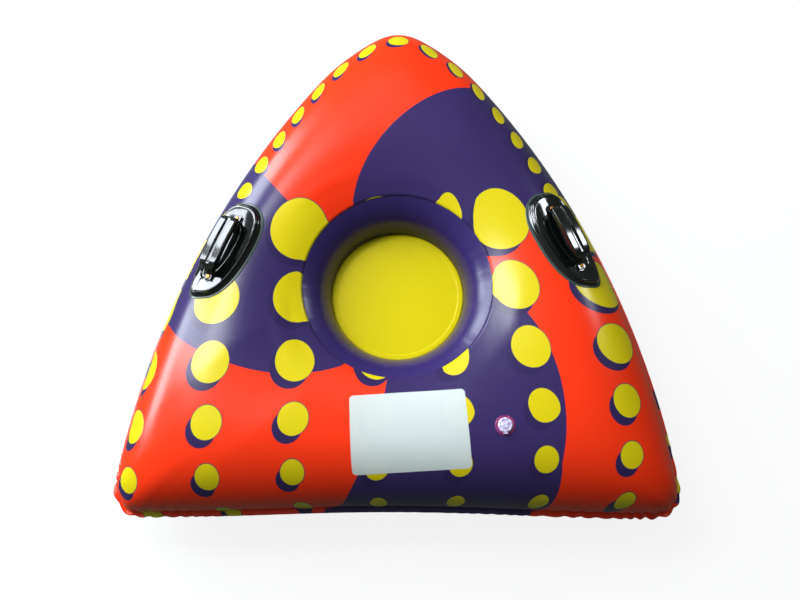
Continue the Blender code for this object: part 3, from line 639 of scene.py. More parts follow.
def make_skin(name, cad, places, up):
    """A skin sheet, with its flat map in metres and its map of run and distance from the seam."""
    bm, station, ring = grow_rings(places)
    face_along(bm, lambda f: f.normal.z * up)
    flat = bm.loops.layers.uv.new("flat")
    edge = bm.loops.layers.uv.new("edge")
    for f in bm.faces:
        side = math.copysign(1, sum(v.co.x for v in f.verts))
        for loop in f.loops:
            k, i = loop.vert[station], loop.vert[ring]
            loop[flat].uv = flat_map[i][k]
            loop[edge].uv = (side * runs[k], from_seam[i][k])
    return add_piece(name, bm, cad, sheet=SHEET)


lower = wrinkled.copy()
lower[..., 2] = 2 * MID - lower[..., 2]
lower[seam_ring + 1:, :, 2] += 2 * curl[seam_ring + 1:]  # the welded edge curls the same way in both
lower[..., 2] = (lower[..., 2] + np.sqrt(lower[..., 2] ** 2 + FLATTEN ** 2)) / 2
skin_top = make_skin("skin_top", "top_panel", wrinkled, 1)
skin_bottom = make_skin("skin_bottom", "bottom_panel", lower, -1)
print("skin sheets:", len(skin_top.data.polygons), "faces each")

# %% [markdown]
# ## Vinyl
# All the soft pieces are the same kind of glossy plasticised vinyl. Its finish is a node group that
# is built once: a very fine grain, broad and slow unevenness from the rolled sheet, and a few matt
# scuffs from use. It puts out a roughness, a height for a Bump node, and a shade for the colour.

# %% Vinyl surface group
GRAIN_SCALE, SLOW_SCALE, SCUFF_SCALE = 900, 9, 26  # how fine each unevenness is
SCUFF_LEVEL, SCUFF_EDGE = 0.58, 0.05  # only the peaks of the noise are scuffed, with a soft edge


def vinyl_group():
    tree, given, out = new_group(
        "vinyl_surface",
        [("Roughness", NUMBER, 0.3), ("Scuffs", NUMBER, 0.06), ("Grain", NUMBER, 0.15)],
        [("Roughness", NUMBER), ("Height", NUMBER), ("Shade", NUMBER)])
    spot = here(tree)
    slow, grain = noise(tree, spot, SLOW_SCALE, 3), noise(tree, spot, GRAIN_SCALE, 1)
    drawn = node(tree, "Mapping", {"Vector": spot, "Scale": (1, 7, 1), "Rotation": (0, 0, 0.6)})
    rubbed = noise(tree, drawn.outputs[0], SCUFF_SCALE, 6, Roughness=0.7)
    rubbed = (rubbed - SCUFF_LEVEL).do("SMOOTH_MAX", 0.0, SCUFF_EDGE)
    feed(out["Roughness"], given["Roughness"] + (slow - 0.5) * 0.10 + rubbed * (given["Scuffs"] * 8.0))
    feed(out["Height"], grain * given["Grain"] + slow * 0.6)
    feed(out["Shade"], slow * 0.06 + 0.97)
    return tree


VINYL = vinyl_group()
VINYL_GLOSS = 0.45  # specular level: softened vinyl mirrors less than hard plastic


def vinyl_finish(name, colour_of, roughness, extra_height=None, gloss=VINYL_GLOSS):
    """A vinyl material: colour_of(tree) gives the colour, and the group gives the rest."""
    made, tree, shader = new_material(name, Specular_IOR_Level=gloss)
    surface = use_group(tree, VINYL, {"Roughness": roughness, "Scuffs": 0.015})
    inputs = {0: colour_of(tree), "Scale": surface["Shade"]}
    shaded = node(tree, "VectorMath", inputs, operation="SCALE")
    height = Value(surface["Height"])
    if extra_height:
        height = height + extra_height(tree)
    dress(tree, shader, shaded.outputs[0], surface["Roughness"], height)
    return made


def plain(colour):
    """The same colour all over, before the group shades it."""
    return lambda tree: colour[:3]


ORANGE, YELLOW = (0.93, 0.032, 0.002, 1), (0.68, 0.55, 0.001, 1)
PURPLE, WHITE = (0.033, 0.018, 0.102, 1), (0.60, 0.66, 0.64, 1)
print("vinyl group ready")

# %% [markdown]
# ## Print
# The printed pattern is an orange-red ground, a pinwheel of broad purple arms round the seat, and
# rows of yellow polka dots that shrink towards the tail, each with a purple shadow. It is drawn in
# the sheet's flat map, so it bends and shortens over the edges as the ink on a real sheet does. The
# dots are a group of their own, because the shadow is the same dots moved and recoloured.

# %% Polka dot groups
COLUMN_PITCH, COLUMN_START = 0.160, -0.038
ROW_START, ROW_PITCH, ROW_GROWTH = -0.023, 0.136, 1.13  # pitch and growth from row to row
DOT_RADIUS, DOT_GROWTH, DOT_TALL, LAST_ROW = 0.0475, 1.27, 1.12, 1.5
ROW_TILT, COLUMN_LEAN, LEAN_FROM = 0.055, 0.19, -0.262  # right of the seat, the columns lean outwards
INK_EDGE, INK_SOFT = 0.0014, 0.0012  # the purple plate shows as a thin line round each dot
DOT_OUTPUTS = [("Mask", NUMBER), ("Edge", NUMBER)]


def disc_mask(tree, off_x, off_y, radius):
    """1 inside a disc, with an edge about a millimetre soft, like printed ink, and 0 outside."""
    away = (off_x * off_x + off_y * off_y).do("SQRT")
    return compute(tree, "SUBTRACT", radius, away).do("DIVIDE", INK_SOFT, clamp=True)


def print_discs(tree, out, off_x, off_y, radius, printed):
    """Puts out the discs, and the same a little wider for their dark edge."""
    for i, wider in enumerate((0.0, INK_EDGE)):
        feed(out[i], disc_mask(tree, off_x, off_y, radius + wider) * printed)
    return tree


def off_step(steps):
    """How far a number of steps is from the nearest whole one."""
    return steps - steps.do("ROUND")


def dot_rows():
    """A grid of dots. Rows draw together and dots shrink towards the tail, by the same share each row."""
    tree, given, out = new_group("dot_rows", [("Vector", VECTOR, None)], DOT_OUTPUTS)
    x, y = split(tree, given["Vector"])[:2]
    window = x.ramp(12.0, -0.9) * x.ramp(-6.0, 3.0)
    drift = (y - LEAN_FROM).do("MAXIMUM", 0.0) * window * COLUMN_LEAN
    off_x = off_step((x - COLUMN_START + drift) / COLUMN_PITCH) * COLUMN_PITCH
    scale = ROW_PITCH / math.log(ROW_GROWTH)
    level = y - x * ROW_TILT
    row = ((level + (scale - ROW_START)) / scale).do("LOGARITHM", ROW_GROWTH)
    nearest = row.do("ROUND")
    pitch = compute(tree, "POWER", ROW_GROWTH, nearest) * (ROW_PITCH / DOT_TALL)
    off_y = off_step(row) * pitch
    radius = compute(tree, "POWER", DOT_GROWTH, nearest) * DOT_RADIUS
    return print_discs(tree, out, off_x, off_y, radius, nearest.do("LESS_THAN", LAST_ROW))


NOSE_PITCH, NOSE_INSET, NOSE_DOT, NOSE_END = 0.0765, 0.092, 0.0235, 0.575


def nose_row():
    """One row of small dots that follows the seam round the nose, in the map of run and distance."""
    tree, given, out = new_group("nose_row", [("Vector", VECTOR, None)], DOT_OUTPUTS)
    along, inward = split(tree, given["Vector"])[:2]
    off_x = off_step(along / NOSE_PITCH) * NOSE_PITCH
    short = along.do("ABSOLUTE").do("LESS_THAN", NOSE_END)
    return print_discs(tree, out, off_x, inward - NOSE_INSET, NOSE_DOT, short)


DOT_ROWS, NOSE_ROW = dot_rows(), nose_row()
print("dot groups made")

# %% Pinwheel and panel
ARMS, ARM_TURN, ARM_TWIST = 3, math.radians(131), -1.7  # orange arms: angle at the ring, turn per metre
ARM_START, ARM_WIDENING, ARM_WIDEST, ARM_SHARPNESS = 0.78, -3.2, -0.12, 90.0


def pinwheel(tree, spot):
    """Orange arms that start narrow at the ring, widen outwards and lean round the seat."""
    x, y = split(tree, spot)[:2]
    reach = node(tree, "VectorMath", {0: spot}, operation="LENGTH").outputs["Value"]
    past = Value(reach) - SEAT_RADIUS
    lean = y.do("ARCTAN2", x) - ARM_TURN - past * ARM_TWIST
    wave = (lean * ARMS).do("COSINE")
    narrow = (past * ARM_WIDENING + ARM_START).do("MAXIMUM", ARM_WIDEST)
    return (narrow - wave).ramp(ARM_SHARPNESS, 0.5)


PANEL_MIDDLE, PANEL_SIZE, PANEL_TURN, PANEL_CORNER = (0.0245, -0.2975, 0), (0.229, 0.154), 0.068, 0.009


def panel_mask(tree, spot):
    """A bare rectangle with rounded corners, for an owner's name or a club number."""
    inputs = {"Vector": spot, "Location": PANEL_MIDDLE, "Rotation": (0, 0, PANEL_TURN)}
    there = node(tree, "Mapping", inputs, vector_type="TEXTURE").outputs[0]
    past = [(place.do("ABSOLUTE") - (size / 2 - PANEL_CORNER)).do("MAXIMUM", 0.0)
            for place, size in zip(split(tree, there), PANEL_SIZE)]
    return disc_mask(tree, *past, PANEL_CORNER)


print("pinwheel and panel ready")

# %% Printed sheet
SHADOW_SHIFT, NOSE_SHIFT, SHADOW = (0.010, 0.015, 0), (0.006, -0.009, 0), (0.025, 0.013, 0.080, 1)
PANEL_COVER = 0.97  # the white ink hides nearly all of what is under it
RIB_PITCH, RIB_HEIGHT = 0.0018, 1.6


def uv_place(tree, name):
    return node(tree, "UVMap", uv_map=name).outputs[0]


def printed_colour(tree):
    spot, edge = uv_place(tree, "flat"), uv_place(tree, "edge")
    colour = blend_colors(tree, pinwheel(tree, spot), ORANGE, PURPLE)
    for group, where, shift in ((DOT_ROWS, spot, SHADOW_SHIFT), (NOSE_ROW, edge, NOSE_SHIFT)):
        moved = node(tree, "VectorMath", {0: where, 1: shift}, operation="ADD").outputs[0]
        shadow, dots = (use_group(tree, group, {"Vector": place}) for place in (moved, where))
        for share, ink in ((shadow["Mask"], SHADOW), (dots["Edge"], SHADOW), (dots["Mask"], YELLOW)):
            colour = blend_colors(tree, share, colour, ink)
    return blend_colors(tree, panel_mask(tree, spot) * PANEL_COVER, colour, WHITE)


def weld_ribs(tree):
    """Fine pressed ribs that run along the seam's flange, where the two sheets are welded."""
    out = split(tree, uv_place(tree, "edge"))[1]
    ribs = (out * (math.tau / RIB_PITCH)).do("SINE")
    return ribs * out.ramp(-900.0, -0.6) * RIB_HEIGHT


coat(vinyl_finish("printed_vinyl", printed_colour, 0.24, extra_height=weld_ribs), skin_top)
coat(vinyl_finish("purple_vinyl", plain(PURPLE), 0.32, extra_height=weld_ribs), skin_bottom)
print("print made")

# %% [markdown]
# ## The well
# The seat well is lined by a wall of plain sheet that the pressure bows inwards, one half above the
# floor and one below. A turned profile gives the shape. The real wall isn't quite round: it puckers
# where it is welded to the floor and to the ring, so the rings get a small uneven wave there.

# %% Wall of the well
MM = 0.001  # small pieces are written in millimetres from here on
FLOOR_RADIUS, WALL_BULGE, FLOOR_WELD = 0.137, 0.014, 0.010
WALL_SEGMENTS = 480
PUCKER_AT_FLOOR, PUCKER_AT_RING, SLACK = 0.6 * MM, 0.4 * MM, 0.36 * MM
wall_turn = np.linspace(0, math.tau, WALL_SEGMENTS, endpoint=False)
wall_circle = on_circle(wall_turn)


def pucker(turn, seed):
    """An uneven wave round a circle, between about -1 and 1."""
    total = np.zeros_like(turn)
    for count, part in ((5, 0.3), (13, 0.3), (31, 0.45), (47, 0.35), (83, 0.2)):
        total += part * np.sin(count * turn + seed * count ** 1.3)
    return total


def wall_profile(steps):
    """Points (r, z over the mid-plane) from the lap under the ring down to the flange under the floor."""
    tuck = SHEET + 0.0003
    ring = np.array([SEAT_RADIUS + tuck * math.sin(LAP_SLOPE), RING_RISE - tuck * math.cos(LAP_SLOPE)])
    lap = ring + 0.009 * np.array([1, math.tan(LAP_SLOPE)])
    foot = np.array([FLOOR_RADIUS, HALF_SEAM])
    chord = foot - ring
    bow = np.array([chord[1], -chord[0]]) / np.linalg.norm(chord)
    share = np.linspace(0, 1, steps)[:, None]
    arch = ring + share * chord + bow * WALL_BULGE * 4 * share * (1 - share)
    return np.vstack([lap, arch, [[FLOOR_RADIUS - FLOOR_WELD, HALF_SEAM]]])


wall_line = wall_profile(26)


def make_wall(name, cad, upper):
    rings = []
    for i, (r, z) in enumerate(wall_line):
        down = np.clip((i - 1) / (len(wall_line) - 3), 0, 1)
        pulled = PUCKER_AT_FLOOR * np.exp(-((1 - down) / 0.10) ** 2)
        pulled += PUCKER_AT_RING * np.exp(-(down / 0.08) ** 2)
        pulled = pulled * (0 < i < len(wall_line) - 2) + SLACK * math.sin(math.pi * down)
        radius = r - pulled * (pucker(wall_turn, 2 + upper) + 1)
        rings.append(seat_ring(wall_circle, radius, MID + (z if upper else -z)))
    bm = grow_rings(rings)[0]
    face_along(bm, lambda f: -f.normal.x * f.calc_center_median().x)
    return add_piece(name, bm, cad, sheet=SHEET)


wall_upper = make_wall("well_wall_upper", "seat_wall_upper", True)
wall_lower = make_wall("well_wall_lower", "seat_wall_lower", False)
print("well walls made of", len(wall_line), "rings each")

# %% Finish of the wall


def wall_colour_and_painted_shade(tree):
    """Dark purple, with painted shade: the wall turns darker towards the floor, in the tuck above and below
    it.
    """
    height = split(tree, here(tree))[2] - MID
    # painted shade: the darker purple fills the lowest 7 mm next to the floor and fades out by about 57 mm
    # above or below it
    share = height.do("ABSOLUTE").ramp(20.0, -0.15)
    return blend_colors(tree, share, (0.012, 0.008, 0.040, 1), (0.030, 0.017, 0.115, 1))


coat(vinyl_finish("wall_vinyl", wall_colour_and_painted_shade, 0.27), wall_upper, wall_lower)
print("wall finish made")

# %% [markdown]
# The floor is a flat yellow disc welded round its rim. The weld shows as a step a little inside the
# edge. The sheet is tight, with only faint radial ripples at the weld.

# %% Floor of the well
FLOOR_SHEET = 0.0010
FLOOR_LINE = (
    (136.7, 0), (134.0, 0.02), (130.0, 0.02), (127.2, 0), (126.5, -0.1), (125.8, -0.5), (125.1, -0.8),
    (124.3, -0.8), (118, -0.8), (108, -0.8), (92, -0.8), (70, -0.8), (45, -0.8), (20, -0.8), (4, -0.8),
)
FLOOR_YELLOW = (0.72, 0.59, 0.001, 1)
floor_top = MID + HALF_SEAM + 0.0003 + FLOOR_SHEET
rings = []
for r, z in FLOOR_LINE:
    ripple = 0.00006 * np.exp(-((r * MM - 0.121) / 0.012) ** 2) * pucker(wall_turn, 5)
    rings.append(seat_ring(wall_circle, r * MM, floor_top + z * MM + ripple))
bm, _, ring = grow_rings(rings)
inner_rim = [e for e in rim_edges(bm) if e.verts[0][ring] == len(rings) - 1]
bmesh.ops.holes_fill(bm, edges=inner_rim, sides=0)
bm.normal_update()
face_along(bm, lambda f: f.normal.z)
seat_sheet = add_piece("seat_sheet", bm, "seat_floor", sheet=FLOOR_SHEET)
coat(vinyl_finish("floor_vinyl", plain(FLOOR_YELLOW), 0.36, gloss=0.16), seat_sheet)
print("floor made")

# %% [markdown]
# ## Handles
# Each handle is a glossy black moulding. Its base is a boat-shaped pan that is draped on the skin: a
# thin flange, a low lip, a band that slopes inwards, and a dish that gives room for the knuckles. Its
# outline is a superellipse, bowed inboard and straighter outboard, and every ring of it is dropped
# on the fine skin by a ray, so that it follows the curve.

# %% Places of the handles
HANDLE_LENGTH, HANDLE_WIDTH, HANDLE_TAPER, HANDLE_SKEW = 0.211, 0.101, 0.10, 0.014
INBOARD_POWER, OUTBOARD_POWER, HANDLE_SIDES = 2.6, 3.6, 72
DISH_SHORTER, DISH_OUTBOARD = 0.018, 0.0075
FOOT_PLACE = 0.0665  # from the middle of the base to a foot of the grip
HANDLE_PLACES = {  # the middle of the base, and the rows of its turn
    "right": ((0.3329, 0.0034, 0.2202),
              ((-0.396, -0.865, 0.307), (0.918, -0.366, 0.152), (-0.019, 0.342, 0.939))),
    "left": ((-0.3429, -0.0206, 0.2207),
             ((0.374, -0.874, -0.310), (0.927, 0.345, 0.148), (-0.022, -0.343, 0.939))),
}
skin_tree = BVHTree.FromPolygons([v.co for v in skin_top.data.vertices],
                                 [p.vertices for p in skin_top.data.polygons])


def skin_height(frame, u, v):
    hit = skin_tree.ray_cast(frame @ Vector((u, v, 0.08)), -frame.col[2].to_3d())[0]
    return (frame.inverted() @ hit).z


def handle_frame(spot, rows):
    """X along the skin towards the nose, Z square off it, with the origin on the fine skin."""
    turned = Matrix(rows).normalized().to_quaternion().to_matrix().to_4x4()
    turned.translation = spot
    turned.translation = turned @ Vector((0, 0, skin_height(turned, 0, 0)))
    return turned


frames = {side: handle_frame(*place) for side, place in HANDLE_PLACES.items()}
outboards = {side: math.copysign(1, frame.col[1].x * frame.translation.x) for side, frame in frames.items()}


def handle_ring(side, inset, height, dish=0):
    """A ring of the base, in mm from its edge and over the skin. The dish lies outboard and is shorter."""
    frame, outboard = frames[side], outboards[side]
    half_length = HANDLE_LENGTH / 2 - inset * MM - DISH_SHORTER * dish
    half_width = HANDLE_WIDTH / 2 - inset * MM
    ring = []
    for k in range(HANDLE_SIDES):
        turn = math.tau * (k + 0.5) / HANDLE_SIDES
        c, s = on_circle(turn)
        power = 2 / (OUTBOARD_POWER if s * outboard > 0 else INBOARD_POWER)
        u, v = math.copysign(abs(c) ** power, c), math.copysign(abs(s) ** power, s)
        a = half_length * u - HANDLE_SKEW * v * outboard * (1 - u) / 2
        b = half_width * v * (1 + HANDLE_TAPER * u) + DISH_OUTBOARD * dish * outboard
        ring.append(frame @ Vector((a, b, height * MM + skin_height(frame, a, b))))
    return ring


print("handle places:", {side: [round(x, 3) for x in frame.translation] for side, frame in frames.items()})

# %% Base of a handle
BOSS_TOP, BOSS_SIZE, BOSS_ROUND = 8.5 * MM, (0.021, 0.024, 0.008), 0.9 * MM
BASE_LINE = (  # inset and height over the skin in mm, share of the dish's offset
    (48, 1.3, 0), (30, 1.3, 0), (12, 1.3, 0), (1.2, 1.3, 0), (0.2, 1.6, 0), (0, 2.4, 0), (0.1, 3.4, 0),
    (0.6, 4.1, 0), (1.6, 4.6, 0), (3.0, 5.3, 0), (4.1, 6.6, 0), (4.9, 8.6, 0), (5.7, 10.6, 0),
    (6.9, 11.5, 0), (7.7, 11.4, 0), (8.6, 10.7, 0), (10.5, 10.0, 0.04), (14.0, 9.2, 0.3),
    (18.0, 8.3, 0.65), (22.0, 7.4, 0.92), (23.8, 6.9, 1), (24.6, 6.2, 1), (25.3, 4.8, 1),
    (26.2, 3.6, 1), (27.6, 3.2, 1), (33, 3.2, 1), (40, 3.2, 1), (47, 3.2, 1),
)


def edges_of(verts):
    """The edges that meet these vertices, each once."""
    return list(dict.fromkeys(e for v in verts for e in v.link_edges))


def round_edges(bm, edges, size, segments):
    bmesh.ops.bevel(bm, geom=edges, offset=size, offset_type="OFFSET", affect="EDGES", segments=segments,
                    profile=0.5, material=-1)


def add_boss(bm, frame, place):
    """A low round boss in the dish, with a softened rim, for a foot of the grip."""
    middle = Matrix.Translation((place, 0, BOSS_TOP - BOSS_SIZE[2] / 2))
    made = bmesh.ops.create_cone(bm, cap_ends=True, segments=32, radius1=0.5, radius2=0.5, depth=1,
                                 matrix=frame @ middle @ Matrix.Diagonal((*BOSS_SIZE, 1)))["verts"]
    to_base = frame.inverted()
    rim = [e for e in edges_of(made) if all((to_base @ v.co).z > BOSS_TOP - 0.1 * MM for v in e.verts)]
    round_edges(bm, rim, BOSS_ROUND, 3)


def make_base(side):
    bm = grow_rings([handle_ring(side, *level) for level in BASE_LINE])[0]
    close_rings(bm)
    for place in (FOOT_PLACE, -FOOT_PLACE):
        add_boss(bm, frames[side], place)
    return add_piece(side + "_base", bm, side + "_handle_base", smooth_levels=1)


bases = [make_base(side) for side in frames]
print("bases made:", [len(base.data.polygons) for base in bases], "faces")

# %% Patch under a handle
PATCH_LINE = (
    (-4, 0.1), (-4, 0.7), (-3.6, 1.0), (-2, 1.1), (6, 1.1), (14, 1.1), (14, 0.2), (6, 0.2), (-2, 0.1),
)


def make_patch(side):
    """The flexible ring under the base, whose margin shows as a thin line round it."""
    bm = grow_rings([handle_ring(side, *level) for level in PATCH_LINE])[0]
    close_rings(bm, join=True)
    return add_piece(side + "_patch", bm, side + "_handle_patch")


patches = [make_patch(side) for side in frames]
print("patches made:", len(patches))

# %% [markdown]
# The grip is a broad bar that bridges the dish. It has two rounded rails with a groove between them,
# and its legs taper down to narrow feet. It is grown ring by ring too: each ring is one cross-section,
# set between a point of the top line and a point of the under line.

# %% Grip of a handle
GRIP_TOP, GROOVE_DEPTH = 39 * MM, 4.5 * MM
GRIP_SHIFT = 4 * MM  # the bar lies this much nearer the nose than its feet
SHIFT_FROM, SHIFT_OVER = 13.5 * MM, 18 * MM  # the height where the legs start to lean, and how far up
GRIP_LINE = (  # in mm: along, top; along, under; half width
    (72.5, 12.7, 72.5, 8.9, 8.0), (72.1, 12.8, 72.1, 8.8, 8.5), (70.0, 12.8, 70.0, 8.8, 8.5),
    (64.5, 12.8, 62.0, 8.8, 8.5), (61.4, 13.1, 55.0, 8.9, 8.6), (59.9, 15.0, 51.5, 9.8, 9.2),
    (58.5, 20.5, 50.0, 12.2, 11.2), (57.0, 27.0, 48.4, 15.2, 13.8), (55.8, 31.8, 46.8, 18.0, 16.0),
    (54.0, 35.0, 44.5, 20.6, 17.6), (50.0, 37.3, 40.5, 22.9, 18.8), (43.0, 38.5, 34.0, 24.6, 19.6),
    (32.0, 39.1, 25.0, 25.7, 20.0), (16.0, 40.1, 12.5, 26.7, 20.0), (0, 40.5, 0, 27.0, 20.0),
)
# Half of a cross-section, from the middle of the underside to the groove: share of the half width,
# share of the thickness, and how far the groove pulls the point down.
GRIP_SECTION = (
    (0, 0, 0), (0.55, 0, 0), (0.85, 0.01, 0), (0.97, 0.08, 0), (1, 0.25, 0), (1, 0.50, 0), (1, 0.76, 0),
    (0.985, 0.93, 0), (0.94, 0.99, 0), (0.84, 1, 0), (0.36, 1, 0), (0.270, 0.997, 0), (0.210, 0.965, 0),
    (0.180, 0.90, 0.45), (0.165, 1, 0.88), (0.130, 1, 1.0), (0, 1, 1.0),
)


def grip_ring(frame, outer, inner, half):
    """One cross-section, as a closed ring of places."""
    thick = (outer - inner).length
    deep = max(0.0, min(GROOVE_DEPTH, outer[1] - (GRIP_TOP - GROOVE_DEPTH))) / thick
    side = []
    for across, up, pull in GRIP_SECTION:
        side.append((across * half, inner.lerp(outer, up - pull * deep)))
    whole = side + [(-a, spot) for a, spot in side[-2:0:-1]]
    return [frame @ Vector((spot[0], a, spot[1])) for a, spot in whole]


def make_grip(side):
    line = [[x * MM for x in level] for level in GRIP_LINE]
    line += [[-a, b, -c, d, half] for a, b, c, d, half in line[-2::-1]]
    rings = []
    for a, b, c, d, half in line:
        shift = GRIP_SHIFT * min(max((b - SHIFT_FROM) / SHIFT_OVER, 0), 1)
        rings.append(grip_ring(frames[side], Vector((a + shift, b)), Vector((c + shift, d)), half))
    bm = grow_rings(rings)[0]
    close_rings(bm)
    return add_piece(side + "_grip", bm, side + "_handle_grip", smooth_levels=2)


grips = [make_grip(side) for side in frames]
print("grips made:", [len(grip.data.polygons) for grip in grips], "faces")

# %% [markdown]
# A rivet, a valve stem and a cap are all round about an axis. Such a piece could be stacked from
# cylinders, but a profile that is spun about the axis gives every radius and soft edge at once.

# %% Rivets of a handle
RIVET_LINE = (
    (0, 3.2), (2.1, 3.2), (2.1, 13.1), (4.0, 13.1), (4.1, 13.4), (4.0, 13.9), (3.6, 14.5), (2.8, 14.8),
    (2.4, 14.75), (1.2, 14.3), (0, 14.2),
)


def turned_piece(profile, x=0.0, lift=0.0, steps=48):
    """Spins a profile (radius, height in mm) about an upright axis, as a closed mesh."""
    bm = bmesh.new()
    middle = Vector((x, 0, lift * MM))
    verts = [bm.verts.new(middle + Vector((r, 0, z)) * MM) for r, z in profile]
    pairs = list(zip(verts, verts[1:]))
    if profile[0][0] and profile[-1][0]:
        pairs.append((verts[-1], verts[0]))
    edges = [bm.edges.new(pair) for pair in pairs]
    bmesh.ops.spin(bm, geom=verts + edges, cent=middle, axis=(0, 0, 1), angle=math.tau, steps=steps,
                   use_merge=True)
    bmesh.ops.remove_doubles(bm, verts=bm.verts, dist=0.02 * MM)
    bmesh.ops.recalc_face_normals(bm, faces=bm.faces)
    return bm


def make_rivet(side, end, place):
    """A rivet with a domed head and a small dimple, turned about its own axis."""
    bm = turned_piece(RIVET_LINE, x=place, steps=32)
    bmesh.ops.transform(bm, matrix=frames[side], verts=bm.verts)
    return add_piece(f"{side}_rivet_{end}", bm, f"{side}_handle_rivet_{end}")


ends = {"nose": FOOT_PLACE, "tail": -FOOT_PLACE}
rivets = [make_rivet(side, end, ends[end]) for side in frames for end in ends]
print("rivets made:", len(rivets))

# %% [markdown]
# The mouldings are polished black plastic. Polish is never perfect: there is a faint waviness from
# the mould, fine rubbing along the places that hands touch, and dust that settles in the dish. The
# patch under them is soft vinyl, and the rivets are brass with a little tarnish.

# %% Finishes of the handles


def moulding_group():
    tree, given, out = new_group(
        "polished_moulding",
        [("Roughness", NUMBER, 0.14), ("Rub", NUMBER, 0.2)],
        [("Color", COLOUR), ("Roughness", NUMBER), ("Height", NUMBER)])
    spot = here(tree)
    worn = noise(tree, spot, 90, 5, Roughness=0.75).do("SUBTRACT", 0.55, clamp=True) * given["Rub"]
    dull = worn.do("MULTIPLY", 2.0, clamp=True)
    feed(out["Color"], blend_colors(tree, dull, (0.0022, 0.0040, 0.0034, 1), (0.035, 0.040, 0.038, 1)))
    feed(out["Roughness"], given["Roughness"] + worn * 3.0)
    feed(out["Height"], noise(tree, spot, 35, 2) + noise(tree, spot, 700, 2) * 0.10)
    return tree


MOULDING = moulding_group()


def moulding_finish(name, roughness, rub, coat_roughness):
    made, tree, shader = new_material(name, Coat_Weight=0.5, Coat_Roughness=coat_roughness)
    surface = use_group(tree, MOULDING, {"Roughness": roughness, "Rub": rub})
    dress(tree, shader, surface["Color"], surface["Roughness"], surface["Height"], 0.25, 0.6 * MM)
    return made


def brass_finish():
    made, tree, shader = new_material("rivet_brass", Metallic=1.0)
    tarnish = noise(tree, here(tree), 300, 4)
    colour = blend_colors(tree, tarnish, (0.75, 0.34, 0.07, 1), (0.40, 0.16, 0.03, 1))
    feed(shader.inputs["Base Color"], colour)
    feed(shader.inputs["Roughness"], tarnish * 0.3 + 0.15)
    return made


coat(moulding_finish("black_moulding", 0.09, 0.15, 0.05), *bases)
coat(moulding_finish("grip_moulding", 0.12, 0.2, 0.08), *grips)
coat(vinyl_finish("patch_vinyl", plain((0.050, 0.078, 0.070)), 0.22), *patches)
coat(brass_finish(), *rivets)
print("handle finishes made")

# %% [markdown]
# ## Valve
# The valve sits in a hole in the skin. A tinted ring is welded round the hole, a soft stem with a
# collar rests on it, and a cap with a plug closes the stem on a film hinge. A one-way flap hangs at
# the stem's lower end. All are turned shapes, and the little hinge tabs are bevelled blocks.

# %% Hole for the valve
VALVE_PLACE, SEAT_TOP = Vector((0.20227, -0.37020, 0)), 0.23816
HOLE_RADIUS, HOLE_SIDES = 10.5 * MM, 20


def near_valve(face, radius):
    """Whether a face of the top sheet lies within a radius of the valve's axis."""
    middle = face.calc_center_median()
    return (middle - VALVE_PLACE).xy.length < radius and middle.z > MID


bm = bmesh.new()
bm.from_mesh(skin_top.data)
for k in range(HOLE_SIDES):
    turn = math.tau * k / HOLE_SIDES
    square = Vector((*on_circle(turn), 0))
    near = [f for f in bm.faces if near_valve(f, 22 * MM)]
    parts = [near] + [f.edges for f in near] + [f.verts for f in near]
    geom = list(dict.fromkeys(part for group in parts for part in group))
    bmesh.ops.bisect_plane(bm, geom=geom, dist=0.02 * MM, plane_co=VALVE_PLACE + square * HOLE_RADIUS,
                           plane_no=square)
inside = [f for f in bm.faces if near_valve(f, HOLE_RADIUS * 0.995)]
bmesh.ops.delete(bm, geom=inside, context="FACES")
bm.to_mesh(skin_top.data)
bm.free()
print("hole cut out of", len(inside), "faces")

# %% Ring round the hole
RING_LINE = (
    (10.6, -1.2), (10.6, 0.8), (10.9, 1.2), (15.0, 1.2), (17.6, 1.2), (18.4, 1.1), (18.8, 0.7),
    (19.0, 0), (15.0, -0.1), (11.2, -0.1), (10.9, -1.2),
)
RING_SIDES = 64
rings = []
for r, lift in RING_LINE:
    ring = []
    for x, y in r * MM * on_circle(np.linspace(0, math.tau, RING_SIDES, endpoint=False)):
        over = VALVE_PLACE + Vector((x, y, 0.5))
        skin = skin_tree.ray_cast(over, Vector((0, 0, -1)))[0].z
        ring.append(Vector((over.x, over.y, min(skin + lift * MM, SEAT_TOP - 0.1 * MM))))
    rings.append(ring)
bm = grow_rings(rings)[0]
close_rings(bm, join=True)
valve_ring = add_piece("valve_ring", bm, "valve_flange")
print("valve ring made:", len(valve_ring.data.polygons), "faces")

# %% Stem of the valve


def add_block(bm, low, high, size=0.35):
    """Adds a small block with rounded edges to the mesh, in mm."""
    low, high = Vector(low) * MM, Vector(high) * MM
    place = Matrix.Translation((low + high) / 2) @ Matrix.Diagonal((*(high - low), 1))
    made = bmesh.ops.create_cube(bm, size=1, matrix=place)["verts"]
    round_edges(bm, edges_of(made), size * MM, 2)


def place_valve(name, bm, node_name):
    bmesh.ops.translate(bm, vec=VALVE_PLACE + Vector((0, 0, SEAT_TOP)), verts=bm.verts)
    return add_piece(name, bm, node_name, body=node_name)


STEM_LINE = (
    (7.0, 2.1), (7.3, 2.5), (10.0, 2.5), (11.2, 2.2), (12.4, 2.5), (13.1, 2.5), (13.7, 2.2),
    (14.0, 1.6), (14.0, 0.7), (13.8, 0.3), (9.8, 0.3), (9.8, -21.5), (10.4, -22.0), (11.4, -22.2),
    (11.6, -22.6), (11.6, -23.6), (11.2, -24.0), (7.0, -24.0),
)
EARS = (  # y and z of the low and the high corner: the cap's ear and its root, the flap's ear and its root
    ((-16.7, 0.6), (-14.7, 4.8)), ((-15.7, 0.6), (-12.7, 2.2)),
    ((10.5, -26.1), (12.3, -22.7)), ((8.4, -23.7), (11.4, -22.7)))
bm = turned_piece(STEM_LINE)
for near, far in ((2.5, 4.3), (-4.3, -2.5)):
    for low, high in EARS:
        add_block(bm, (near, *low), (far, *high))
stem = place_valve("valve_tube", bm, "valve_stem")
print("stem made:", len(stem.data.polygons), "faces")

# %% Cap and flap of the valve


